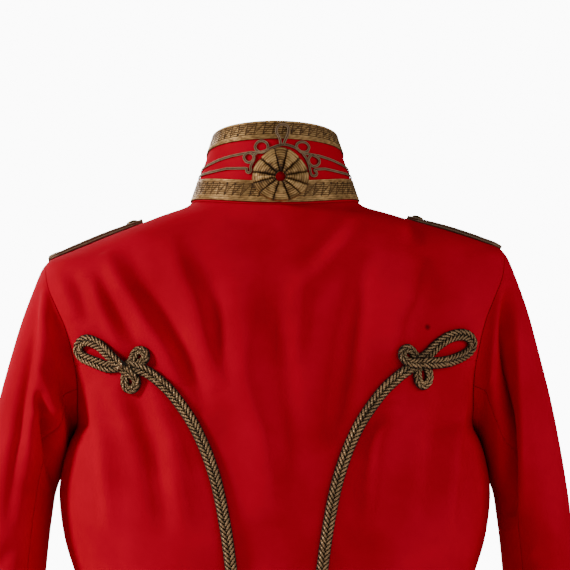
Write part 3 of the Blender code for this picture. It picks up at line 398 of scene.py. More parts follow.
def relief(points: Array, facing: Array, creases: Sequence[Crease]) -> Array:
    """How far the creases lift the cloth: for each, height * exp(-(d / width)^2), faded towards its ends.

    Args:
        points: Points of the plain cloth.
        facing: Its outward directions.
        creases: The folds; d is the distance from the nearest part of a fold's line.

    Returns:
        The lift in metres.
    """
    x, z = points[..., 0] / MM, points[..., 2] / MM
    lift = np.zeros_like(x)
    for crease in creases:
        line = through(crease.line, 8)
        start, step = line[:-1], np.diff(line, axis=0)
        length = np.linalg.norm(step, axis=1)
        total = length.sum()
        reach = 3 * max(crease.left, crease.right)
        low, high = line.min(0) - reach, line.max(0) + reach
        near = (x > low[0]) & (x < high[0]) & (z > low[1]) & (z < high[1])
        near &= crease.face * facing[..., 1] > 0
        px, pz = x[near][:, None] - start[:, 0], z[near][:, None] - start[:, 1]
        share = np.clip((px * step[:, 0] + pz * step[:, 1]) / length**2, 0, 1)
        dx, dz = px - share * step[:, 0], pz - share * step[:, 1]
        away = np.hypot(dx, dz)
        pick = np.argmin(away, axis=1)
        row = np.arange(len(pick))
        turn = step[pick, 0] * dz[row, pick] - step[pick, 1] * dx[row, pick]
        width = np.where(turn > 0, crease.left, crease.right)
        along = (np.concatenate([[0], np.cumsum(length)[:-1]]) + share * length)[row, pick] / total
        fade = np.clip(np.sin(np.pi * along), 0, 1) ** 0.6
        fade = fade * np.clip(1.8 * crease.face * facing[near][:, 1], 0, 1)
        lift[near] += crease.height * np.exp(-((away[row, pick] / width) ** 2)) * fade
    return lift * MM


def body(angle: Array, ring: Array) -> Array:
    """The body with its creases, which fade out towards the armholes.

    Args:
        angle: As torso takes it.
        ring: As torso takes it.

    Returns:
        Points in metres.
    """
    points, facing = torso(angle, ring), normals(torso, angle, ring)
    y, z = points[..., 1] / MM, points[..., 2] / MM
    oval = np.hypot((z - ARM_MIDDLE) / ARM_HALF, y / np.where(y > 0, ARM_BACK_DEPTH, ARM_FRONT_DEPTH))
    fade = np.where(np.abs(points[..., 0]) > ARM_FADE_FROM * MM, smooth(oval, 1.0, ARM_FADE), 1)
    fade = fade * smooth(ring, 0.0, 1.5)
    return points + facing * (relief(points, facing, BODY_CREASES) * fade)[..., None]


def armhole_height(theta: Array) -> Array:
    """Heights of the armhole's edge; theta is 0 at the shoulder point, a quarter turn behind."""
    return ARM_MIDDLE + ARM_HALF * np.cos(theta)


def armhole_angle(height: Array, behind: bool) -> Array:
    """Angle round the body of the armhole's oval edge.

    Args:
        height: Heights in millimetres.
        behind: Whether its back half is meant.

    Returns:
        Angles as torso takes them.
    """
    depth = np.sqrt(np.clip(1 - ((height - ARM_MIDDLE) / ARM_HALF) ** 2, 0, 1))
    depth = depth * (ARM_BACK_DEPTH if behind else ARM_FRONT_DEPTH)
    row = spline(RINGS, ring_at(height))
    angle = np.arcsin((depth / (row[..., 4] if behind else row[..., 5])) ** (row[..., 6] / 2))
    return angle if behind else -angle


def armhole(theta: Array) -> tuple[Array, Array]:
    """Places of the left armhole's edge.

    Args:
        theta: 0 at the shoulder point and a quarter turn behind.

    Returns:
        Angles and rings, as torso takes them.
    """
    theta = np.mod(theta, 2 * np.pi)
    height = armhole_height(theta)
    angle = np.where(theta <= np.pi, armhole_angle(height, True), armhole_angle(height, False))
    return angle, ring_at(height)


def sleeve(theta: Array, station: Array) -> Array:
    """The plain left sleeve: superellipses across the arm, on a smooth curve from the armhole to the wrist.

    Args:
        theta: As armhole takes it.
        station: 0 is the armhole and the last is the wrist.

    Returns:
        Points in metres.
    """
    theta, station = np.broadcast_arrays(theta, station)
    c, s = np.cos(theta), np.sin(theta)
    rings = [torso(*armhole(theta))]
    for row in SLEEVE:
        across = np.sign(c) * np.abs(c) ** (2 / row.squareness)
        deep = np.sign(s) * np.abs(s) ** (2 / row.squareness)
        x = (row.outer_x + row.inner_x) / 2 + (row.outer_x - row.inner_x) / 2 * across
        z = (row.outer_z + row.inner_z) / 2 + (row.outer_z - row.inner_z) / 2 * across
        rings.append(np.stack([x, row.middle_y + row.half_depth * deep, z], axis=-1) * MM)
    rings = np.array(rings)
    at = np.clip(station, 0, len(SLEEVE))
    first = np.minimum(at.astype(int), len(SLEEVE) - 1)
    t = (at - first)[..., None]
    picks = (np.clip(first + k, 0, len(SLEEVE))[None, ..., None] for k in (-1, 0, 1, 2))
    return catmull_rom(*(np.take_along_axis(rings, pick, axis=0)[0] for pick in picks), t)


def sleeve_on(side: Side) -> Surface:
    """The plain sleeve of one arm, which runs round and down as the body does."""
    mirror = np.array([side.value, 1, 1])
    return lambda theta, station: sleeve(side.value * theta, station) * mirror


def mitre(theta: Array) -> Array:
    """Direction of the left armhole's cut edge, half way between the faces of the body and the sleeve.

    Args:
        theta: As armhole takes it.

    Returns:
        One direction for each place, as long as keeps the wall's thickness.
    """
    angle, ring = armhole(theta)
    flat = normals(torso, angle, ring)
    arm = normals(sleeve, theta, np.full_like(theta, 3 * STEP))
    edge = unit(torso(*armhole(theta + STEP)) - torso(*armhole(theta - STEP)))
    middle = flat + arm
    middle = unit(middle - edge * np.sum(middle * edge, axis=-1, keepdims=True))
    return middle / np.maximum(np.sum(middle * flat, axis=-1, keepdims=True), MITRE_LIMIT)


def angle_at(x: Array, height: Array) -> Array:
    """Angles round the body for distances x from the middle, at heights of the side."""
    row = spline(RINGS, ring_at(height))
    return np.arccos(np.clip((np.asarray(x) / row[..., 3]) ** (row[..., 6] / 2), 0, 1))


def collar_surface(angle: Array, down: Array) -> Array:
    """The collar's outside: straight lines from its top edge to the neck seam.

    Args:
        angle: As torso takes it.
        down: 0 at the top edge and 1 at the seam.

    Returns:
        Points in metres.
    """
    angle, down = np.broadcast_arrays(angle, down)
    c, s = np.cos(angle), np.sin(angle)
    seam = torso(angle, np.zeros_like(angle))
    rise = COLLAR_TOP_RISE * np.abs(s) ** COLLAR_RISE_POWER
    fall = COLLAR_TOP_FALL * np.abs(s) ** COLLAR_FALL_POWER
    top = np.stack([COLLAR_TOP_HALF_WIDTH * c, COLLAR_TOP_SHIFT + COLLAR_TOP_DEPTH * s,
                    COLLAR_TOP_SIDE + np.where(s >= 0, rise, -fall)], axis=-1) * MM
    return top + (seam - top) * down[..., None]


def collar_place(x: Array, z: Array) -> tuple[Array, Array]:
    """Find places on the collar's back from where they are seen.

    Args:
        x: Millimetres sideways.
        z: Heights in millimetres.

    Returns:
        Angle and down, as collar_surface takes them, from twelve rounds of correcting both.
    """
    angle, down = np.full_like(x, np.pi / 2), np.full_like(x, 0.5)
    for _ in range(12):
        half = COLLAR_TOP_HALF_WIDTH + (RINGS[0].half_width - COLLAR_TOP_HALF_WIDTH) * down
        angle = np.arccos(np.clip(x / half, -1, 1))
        top, seam = (collar_surface(angle, np.full_like(x, edge))[..., 2] / MM for edge in (0, 1))
        down = (top - z) / (top - seam)
    return angle, down


def collar_angles(columns: int) -> Array:
    """Angles round the collar in even steps, from one front edge round the back to the other."""
    start = math.asin(COLLAR_FRONT_GAP / 2 / COLLAR_TOP_HALF_WIDTH) - math.pi / 2
    return np.linspace(start, math.pi - start, columns + 1)


def collar_height(angle: Array) -> Array:
    """Millimetres from the collar's top edge down its slant to the neck seam."""
    top, seam = collar_surface(angle, 0 * angle), collar_surface(angle, 0 * angle + 1)
    return np.linalg.norm(top - seam, axis=-1) / MM


# ------------------------------------------------------------------ finishes
class Nodes:
    """A node material while it is put together."""

    def __init__(self, name: str, **shader: object) -> None:
        """Start the material.

        Args:
            name: The material's name.
            shader: Settings of the Principled shader, with underscores for the blanks in their names.
        """
        self.material = bpy.data.materials.new(name)
        self.material.use_nodes = True
        self.tree = self.material.node_tree
        self.shader = self.tree.nodes["Principled BSDF"]
        self.put(self.shader, shader)

    def put(self, node: bpy.types.Node, values: dict) -> None:
        """Set or join a node's inputs.

        Args:
            node: The node.
            values: Numbers, colours or sockets under the inputs' names or numbers.
        """
        for key, value in values.items():
            socket = node.inputs[key.replace("_", " ") if isinstance(key, str) else key]
            if isinstance(value, bpy.types.NodeSocket):
                self.tree.links.new(value, socket)
            else:
                socket.default_value = value

    def add(self, kind: str, out: str | int = 0, settings: dict | None = None, **inputs: object) -> Socket:
        """Add one node.

        Args:
            kind: Its type without the word ShaderNode.
            out: The output that is wanted.
            settings: Its own settings.
            inputs: Its inputs; i0, i1 and so on are inputs by number.

        Returns:
            The output socket.
        """
        node = self.tree.nodes.new("ShaderNode" + kind)
        for key, value in (settings or {}).items():
            setattr(node, key, value)
        self.put(node, {int(k[1:]) if k[0] == "i" and k[1:].isdigit() else k: v for k, v in inputs.items()})
        return node.outputs[out]

    def math(self, operation: str, *values: object) -> Socket:
        """Add a sum or other formula of one, two or three numbers or sockets."""
        inputs = {f"i{k}": value for k, value in enumerate(values)}
        return self.add("Math", 0, {"operation": operation}, **inputs)

    def blend(self, share: object, first: object, second: object) -> Socket:
        """Mix two colours; share is how much of the second shows."""
        return self.add("Mix", 2, {"data_type": "RGBA"}, i0=share, i6=first, i7=second)

    def noise(self, place: object, scale: float, detail: float = 2.0) -> Socket:
        """Add a noise of about 0.5, with scale spots in each metre and detail finer layers."""
        return self.add("TexNoise", "Fac", Vector=place, Scale=scale, Detail=detail)

    def spread(self, value: object, low: float, high: float, start: float = 0.0,
               end: float = 1.0) -> Socket:
        """Stretch a value, so that low becomes start and high becomes end."""
        return self.add("MapRange", Value=value, From_Min=low, From_Max=high, To_Min=start, To_Max=end)

    def bump(self, height: object, distance: float, strength: float, below: object = None) -> Socket:
        """Add a bump on the one below it; distance is the height of a full step, in metres."""
        inputs = {"Height": height, "Distance": distance, "Strength": strength}
        return self.add("Bump", 0, None, **inputs, **({"Normal": below} if below else {}))


@dataclass(frozen=True)
class Wool:
    """Milled broadcloth with a soft nap."""

    name: str
    colour: tuple[float, float, float]
    deep: tuple[float, float, float]
    sheen: float = 0.12
    nap: tuple[float, float, float, float] = (1.0, 0.0, 0.02, 1.0)
    rough: float = 0.78
    hole: tuple[float, float, float] | None = None  # the middle of a moth spot, in metres

    def build(self) -> bpy.types.Material:
        """Make the material.

        Returns:
            A mottled, napped cloth, with the moth spot if it has one.
        """
        n = Nodes(self.name, Roughness=self.rough, Sheen_Weight=self.sheen, Sheen_Roughness=0.42,
                  Sheen_Tint=self.nap, Specular_IOR_Level=0.03)
        place = n.add("TexCoord", "Object")
        mottle = n.spread(n.noise(place, 14, 4), 0.3, 0.7)
        fibre = n.noise(place, 1500, 2)
        colour = n.blend(mottle, (*self.deep, 1), (*self.colour, 1))
        colour = n.blend(n.spread(fibre, 0.35, 0.75, 0, 0.22), colour, (*self.deep, 1))
        if self.hole:
            away = n.add("VectorMath", "Value", {"operation": "DISTANCE"}, i0=place, i1=self.hole)
            ragged = n.math("ADD", away, n.math("MULTIPLY", n.noise(place, 700, 2), 0.0012))
            dark = n.spread(ragged, 0.0016, 0.0042, 0.72, 0)
            colour = n.blend(dark, colour, (0.045, 0.004, 0.006, 1))
        soft = n.bump(n.noise(place, 26, 2), 0.0022, 0.22)
        nap = n.bump(fibre, 0.00025, 0.3, soft)
        n.put(n.shader, {"Base_Color": colour, "Normal": nap})
        return n.material


@dataclass(frozen=True)
class Twill:
    """Plain lining with a fine slanting weave."""

    name: str
    colour: tuple[float, float, float]
    pitch: float = 0.0009

    def build(self) -> bpy.types.Material:
        """Make the material.

        Returns:
            A lining with a slanting rib.
        """
        n = Nodes(self.name, Roughness=0.55, Sheen_Weight=0.1, Specular_IOR_Level=0.3)
        place = n.add("TexCoord", "Object")
        x, y, z = n.add("SeparateXYZ", Vector=place).node.outputs
        slant = n.math("ADD", n.math("ADD", x, y), z)
        rib = n.math("SINE", n.math("MULTIPLY", slant, 2 * math.pi / self.pitch))
        shade = n.spread(n.noise(place, 30, 3), 0.3, 0.7, 0.0, 0.5)
        dark = tuple(0.55 * c for c in self.colour)
        n.put(n.shader, {"Base_Color": n.blend(shade, (*self.colour, 1), (*dark, 1)),
                         "Normal": n.bump(rib, 0.0001, 0.4)})
        return n.material


@dataclass(frozen=True)
class Gilt:
    """Gilt wire thread, darkened in its hollows by tarnish and painted shade, with painted highlight on its
    heights: lace, braid or cord.
    """

    name: str
    # Colours for low, middle and high relief: tarnish with painted shade, the gilt's own colour, painted
    # highlight.
    dark: tuple[float, float, float]
    middle: tuple[float, float, float]
    bright: tuple[float, float, float]
    along: float  # threads in each millimetre along the piece
    around: float  # turns of thread round a cord, or threads in each millimetre across a lace
    distance: float  # depth of the threads, in metres
    metal: float
    rough: float

    def build(self) -> bpy.types.Material:
        """Make the material.

        Returns:
            Threads that slant over the piece's own length and width, with painted highlight where its relief
            is high and painted shade where it is low.
        """
        n = Nodes(self.name, Metallic=self.metal, Roughness=self.rough, Specular_IOR_Level=0.5)
        place = n.add("TexCoord", "Object")
        u, v, _ = n.add("SeparateXYZ", Vector=n.add("TexCoord", "UV")).node.outputs
        turn = n.math("ADD", n.math("MULTIPLY", u, self.along), n.math("MULTIPLY", v, self.around))
        thread = n.math("SINE", n.math("MULTIPLY", turn, 2 * math.pi))
        high = n.add("Attribute", "Fac", {"attribute_name": "relief"})
        worn = n.noise(place, 260, 3)
        level = n.math("ADD", high, n.math("MULTIPLY", n.math("SUBTRACT", worn, 0.5), 0.7))
        level = n.math("ADD", level, n.math("MULTIPLY", thread, 0.13))
        # Painted light: the relief sets the colour, from the dark of painted shade and tarnish to the bright
        # of painted highlight.
        colour = n.blend(n.spread(level, 0.05, 0.5), (*self.dark, 1), (*self.middle, 1))
        colour = n.blend(n.spread(level, 0.5, 1.05), colour, (*self.bright, 1))
        stain = n.spread(n.noise(place, 38, 2), 0.42, 0.68, 0, 0.45)
        colour = n.blend(stain, colour, (*(0.6 * c for c in self.middle), 1))
        n.put(n.shader, {"Base_Color": colour, "Normal": n.bump(thread, self.distance, 0.55),
                         "Roughness": n.spread(level, 0, 1, self.rough + 0.22, self.rough - 0.06)})
        return n.material


@dataclass(frozen=True)
class Brass:
    """Gilt brass, darker where its relief is low."""

    name: str = "button_brass_fine"
    colour: tuple[float, float, float] = (0.66, 0.45, 0.16)
    lower_colour: tuple[float, float, float] = (0.19, 0.11, 0.035)

    def build(self) -> bpy.types.Material:
        """Make the material.

        Returns:
            Metal with soft scratches, darker where its relief is low.
        """
        n = Nodes(self.name, Metallic=1.0)
        place = n.add("TexCoord", "Object")
        high = n.add("Attribute", "Fac", {"attribute_name": "relief"})
        worn = n.math("MULTIPLY", n.math("SUBTRACT", n.noise(place, 420, 4), 0.5), 0.6)
        upper_share = n.spread(n.math("ADD", high, worn), 0.1, 0.8)
        n.put(n.shader, {"Base_Color": n.blend(upper_share, (*self.lower_colour, 1), (*self.colour, 1)),
                         "Roughness": n.spread(n.noise(place, 900, 3), 0.3, 0.7, 0.2, 0.38),
                         "Normal": n.bump(n.noise(place, 2600, 2), 0.00005, 0.25)})
        return n.material


@dataclass(frozen=True)
class Finishes:
    """Every finish of the tunic, made once."""

    scarlet: bpy.types.Material
    lining: bpy.types.Material
    lace: bpy.types.Material
    braid: bpy.types.Material
    gimp: bpy.types.Material
    shoulder: bpy.types.Material
    brass: bpy.types.Material
    silk: bpy.types.Material

    @classmethod
    def make(cls) -> "Finishes":
        """Build all the materials.

        Returns:
            The finishes.
        """
        return cls(
            scarlet=Wool("scarlet_broadcloth", (0.74, 0.0, 0.026), (0.56, 0.0, 0.018),
                         hole=(-0.1345, 0.0898, -0.1240)).build(),
            lining=Twill("crimson_lining", (0.16, 0.006, 0.012)).build(),
            lace=Gilt("gilt_lace", (0.03, 0.011, 0.003), (0.3, 0.143, 0.034), (1.0, 0.61, 0.23), 0.0, 0.95,
                      0.00022, 0.4, 0.44).build(),
            braid=Gilt("gilt_braid", (0.02, 0.009, 0.005), (0.21, 0.115, 0.055), (0.46, 0.29, 0.16), 0.9, 1.0,
                       0.0002, 0.25, 0.5).build(),
            gimp=Gilt("gilt_gimp", (0.006, 0.003, 0.0015), (0.1, 0.054, 0.024), (0.66, 0.4, 0.19), 0.45, 2.0,
                      0.0005, 0.45, 0.42).build(),
            shoulder=Gilt("gilt_shoulder_cord", (0.2, 0.12, 0.07), (0.4, 0.26, 0.15), (0.7, 0.48, 0.3), 0.45,
                          2.0, 0.0003, 0.3, 0.5).build(),
            brass=Brass().build(),
            silk=Wool("scarlet_buttonhole_silk", (0.5, 0.004, 0.012), (0.3, 0.002, 0.008), 0.1,
                      rough=0.45).build())


# ------------------------------------------------------------------ meshes
def into_scene(name: str, data: bpy.types.ID) -> bpy.types.Object:
    """Make an object and put it in the scene.

    Args:
        name: Its name.
        data: Its mesh, lamp or camera.

    Returns:
        The object.
    """
    made = bpy.data.objects.new(name, data)
    bpy.context.scene.collection.objects.link(made)
    return made


def numbered(rows: int, columns: int, round_rows: bool, round_columns: bool) -> Array:
    """Numbers of a grid's points; a round grid ends with its first row or column again."""
    index = np.arange(rows * columns).reshape(rows, columns)
    return np.pad(index, ((0, int(round_rows)), (0, int(round_columns))), mode="wrap")


def quads(index: Array) -> Array:
    """The four-sided faces between numbered points of a grid, four numbers for each."""
    return np.stack([index[:-1, :-1], index[:-1, 1:], index[1:, 1:], index[1:, :-1]], -1).reshape(-1, 4)


@dataclass
class Form:
    """Points and faces of a piece while it is put together, with lengths for its threads and its relief."""

    points: list[Array] = field(default_factory=list)
    faces: list[list[int]] = field(default_factory=list)
    uv: list[Array] = field(default_factory=list)
    relief: list[Array] = field(default_factory=list)
    inside: list[int] = field(default_factory=list)  # faces that take the second finish
    count: int = 0

    def add(self, points: Array, faces: list[list[int]], uv: Array, relief: Array) -> None:
        """Add one closed part.

        Args:
            points: Its points.
            faces: Its faces, numbered from its own first point.
            uv: Millimetres along and across for each point.
            relief: 0 in its hollows and 1 on its heights; the gilt finishes paint shade and highlight from it.
        """
        self.faces += [[k + self.count for k in face] for face in faces] if self.count else faces
        self.points.append(points)
        self.uv.append(uv)
        self.relief.append(relief)
        self.count += len(points)

    def wall(self, outer: Array, inner: Array, uv: Array, relief: Array, closed: bool = False) -> None:
        """Add a wall between two grids of points.

        Args:
            outer: The outer grid.
            inner: The inner grid.
            uv: Millimetres along and across for each place of the grid.
            relief: The relief of each place of the outer grid; the inner grid gets 0, the darkest painted
                shade.
            closed: Whether its last row joins its first.
        """
        rows, columns = outer.shape[:2]
        count = rows * columns
        index = numbered(rows, columns, closed, False)
        front = quads(index)
        first = len(self.faces)
        faces = front.tolist() + (front[:, ::-1] + count).tolist()
        borders = [index[:, 0], index[:, -1]] if closed else [
            np.concatenate([index[0], index[1:, -1], index[-1, -2::-1], index[-2::-1, 0]])]
        for border in borders:
            faces += np.stack([border[1:], border[:-1], border[:-1] + count, border[1:] + count], -1).tolist()
        high = relief.ravel()
        self.add(np.concatenate([outer.reshape(-1, 3), inner.reshape(-1, 3)]), faces,
                 np.concatenate([uv.reshape(-1, 2)] * 2), np.concatenate([high, 0 * high]))
        self.inside += list(range(first + len(front), first + 2 * len(front)))

    def tube(self, path: Array, up: Array, width: Array | float, thick: Array | float, sides: int = 8,
             closed: bool = False, bright: Array | float = 1.0) -> None:
        """Add a round cord: its section is width/2 cos a sideways and thick/2 sin a upwards.

        Args:
            path: The points of its middle.
            up: The direction away from the cloth at each point.
            width: Its width, one number or one for each point.
            thick: Its height, likewise.
            sides: The sides of its section.
            closed: Whether it ends where it starts.
            bright: A factor of its relief, which paints highlight along its top and shade beneath.
        """
        sideways = beside(path, up, closed)
        over = unit(np.cross(sideways, ahead_of(path, closed)))
        turn = 2 * np.pi * np.arange(sides) / sides
        wide, high = (np.broadcast_to(size, len(path))[:, None, None] for size in (width, thick))
        rings = (path[:, None] + sideways[:, None] * np.cos(turn)[None, :, None] * wide / 2
                 + over[:, None] * np.sin(turn)[None, :, None] * high / 2)
        index = numbered(len(path), sides, closed, True)
        faces = quads(index)[:, FLIPPED].tolist()
        if not closed:
            faces += [index[0, :-1].tolist(), index[-1, -2::-1].tolist()]
        uv = np.stack(np.broadcast_arrays(so_far(path)[:, None] / MM, turn / (2 * np.pi)), -1)
        # Painted light: highlight along the cord's top, painted shade along its underside.
        painted_top_light = np.clip(0.15 + 0.9 * np.sin(turn), 0, 1) * np.broadcast_to(bright, len(path))[:, None]
        self.add(rings.reshape(-1, 3), faces, uv.reshape(-1, 2), painted_top_light.ravel())

    def finish(self, name: str, finishes: Sequence[bpy.types.Material],
               nodes: Sequence[str] = ()) -> bpy.types.Object:
        """Turn the form into a piece that rides on the tunic.

        Args:
            name: The piece's name.
            finishes: Its material, and that of its inside where it has another.
            nodes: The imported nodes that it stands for.

        Returns:
            The piece.
        """
        mesh = bpy.data.meshes.new(name)
        mesh.from_pydata(np.concatenate(self.points), [], self.faces)
        layer = mesh.uv_layers.new(name="UVMap")
        loops = np.empty(len(mesh.loops), np.int32)
        mesh.loops.foreach_get("vertex_index", loops)
        layer.data.foreach_set("uv", np.concatenate(self.uv)[loops].astype(np.float32).ravel())
        values = mesh.attributes.new("relief", "FLOAT", "POINT")
        values.data.foreach_set("value", np.concatenate(self.relief).astype(np.float32))
        for material in finishes:
            mesh.materials.append(material)
        if len(finishes) > 1:
            which = np.zeros(len(self.faces), np.int32)
            which[self.inside] = 1
            mesh.polygons.foreach_set("material_index", which)
        shape = bmesh.new()
        shape.from_mesh(mesh)
        bmesh.ops.recalc_face_normals(shape, faces=shape.faces)
        shape.to_mesh(mesh)
        shape.free()
        mesh.shade_smooth()
        mesh.set_sharp_from_angle(angle=math.radians(SHARP_ANGLE))
        made = into_scene(name, mesh)
        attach(made, "root")
        if nodes:
            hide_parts(*nodes)
        LOG.info("%s: %d faces", name, len(self.faces))
        return made


def facing_of(points: Array, sign: float = 1.0) -> Array:
    """Outward directions of a grid whose columns run anticlockwise, or not for sign -1."""
    return unit(np.cross(np.gradient(points, axis=0), np.gradient(points, axis=1))) * sign


def opened(points: Array, facing: Array, gap: float, sink: float) -> Array:
    """Draw in a grid's edges, and let them sink into the seam.

    Args:
        points: The grid.
        facing: Its outward directions.
        gap: How far each edge is drawn in along the cloth.
        sink: How far it sinks.

    Returns:
        The new grid.
    """
    made = points.copy()
    for axis, edge, inner in ((1, 0, 1), (1, -1, -2), (0, 0, 1), (0, -1, -2)):
        line, next_line = np.take(points, edge, axis), np.take(points, inner, axis)
        out = np.take(facing, edge, axis)
        way = unit(np.cross(out, np.gradient(line, axis=0)))
        way *= np.sign(np.sum(way * (next_line - line), axis=-1, keepdims=True))
        move = way * gap - (out * sink if not (axis == 0 and edge == -1) else 0)
        if axis == 1:
            made[:, edge] += move
        else:
            made[edge, :] += move
    return made


def lengths(points: Array) -> Array:
    """Millimetres along and down a grid, for its weave.

    Args:
        points: The grid.

    Returns:
        Two numbers for each place, summed from the distances between neighbours.
    """
    across = np.linalg.norm(np.diff(points, axis=1), axis=-1)
    down = np.linalg.norm(np.diff(points, axis=0), axis=-1)
    return np.stack([np.pad(np.cumsum(across, axis=1), ((0, 0), (1, 0))),
                     np.pad(np.cumsum(down, axis=0), ((1, 0), (0, 0)))], -1) / MM


def rows_between(start: Array, end: Array, columns: int, edge: float = 0.012) -> Array:
    """Rows from start to end, whose first and last steps take the share edge of each row."""
    share = np.concatenate([[0], np.linspace(edge, 1 - edge, columns - 1), [1]])
    return start[:, None] + (end - start)[:, None] * share


@dataclass(frozen=True)
class Cut:
    """What a piece of cloth was cut to, in metres."""

    width: float
    length: float
    area: float

    def declare(self, piece: bpy.types.Object) -> None:
        """Take a piece and do nothing with it; the cut is not stated on it."""


CUTS = {
    "back": Cut(0.43, 0.70, 0.125), "side_back": Cut(0.22, 0.56, 0.10), "front": Cut(0.36, 0.70, 0.185),
    "sleeve_upper": Cut(0.24, 0.64, 0.115), "sleeve_under": Cut(0.14, 0.52, 0.055),
    "collar": Cut(0.075, 0.45, 0.027), "collar_lace_top": Cut(0.018, 0.40, 0.0068),
    "collar_lace_bottom": Cut(0.021, 0.44, 0.0088),
}


def cloth_piece(name: str, cut: str, outer: Array, inner: Array, finishes: Finishes) -> bpy.types.Object:
    """Build one sheet of cloth with its lining.

    Args:
        name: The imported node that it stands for, which names it too.
        cut: The entry of CUTS.
        outer: The grid of its outside.
        inner: The grid of its inside.
        finishes: The finishes.

    Returns:
        The piece.
    """
    outer, inner = settle(outer), settle(inner)
    form = Form()
    form.wall(outer, inner, lengths(outer), np.ones(outer.shape[:2]))
    made = form.finish(name + "_cloth", (finishes.scarlet, finishes.lining), [name])
    CUTS[cut].declare(made)
    return made


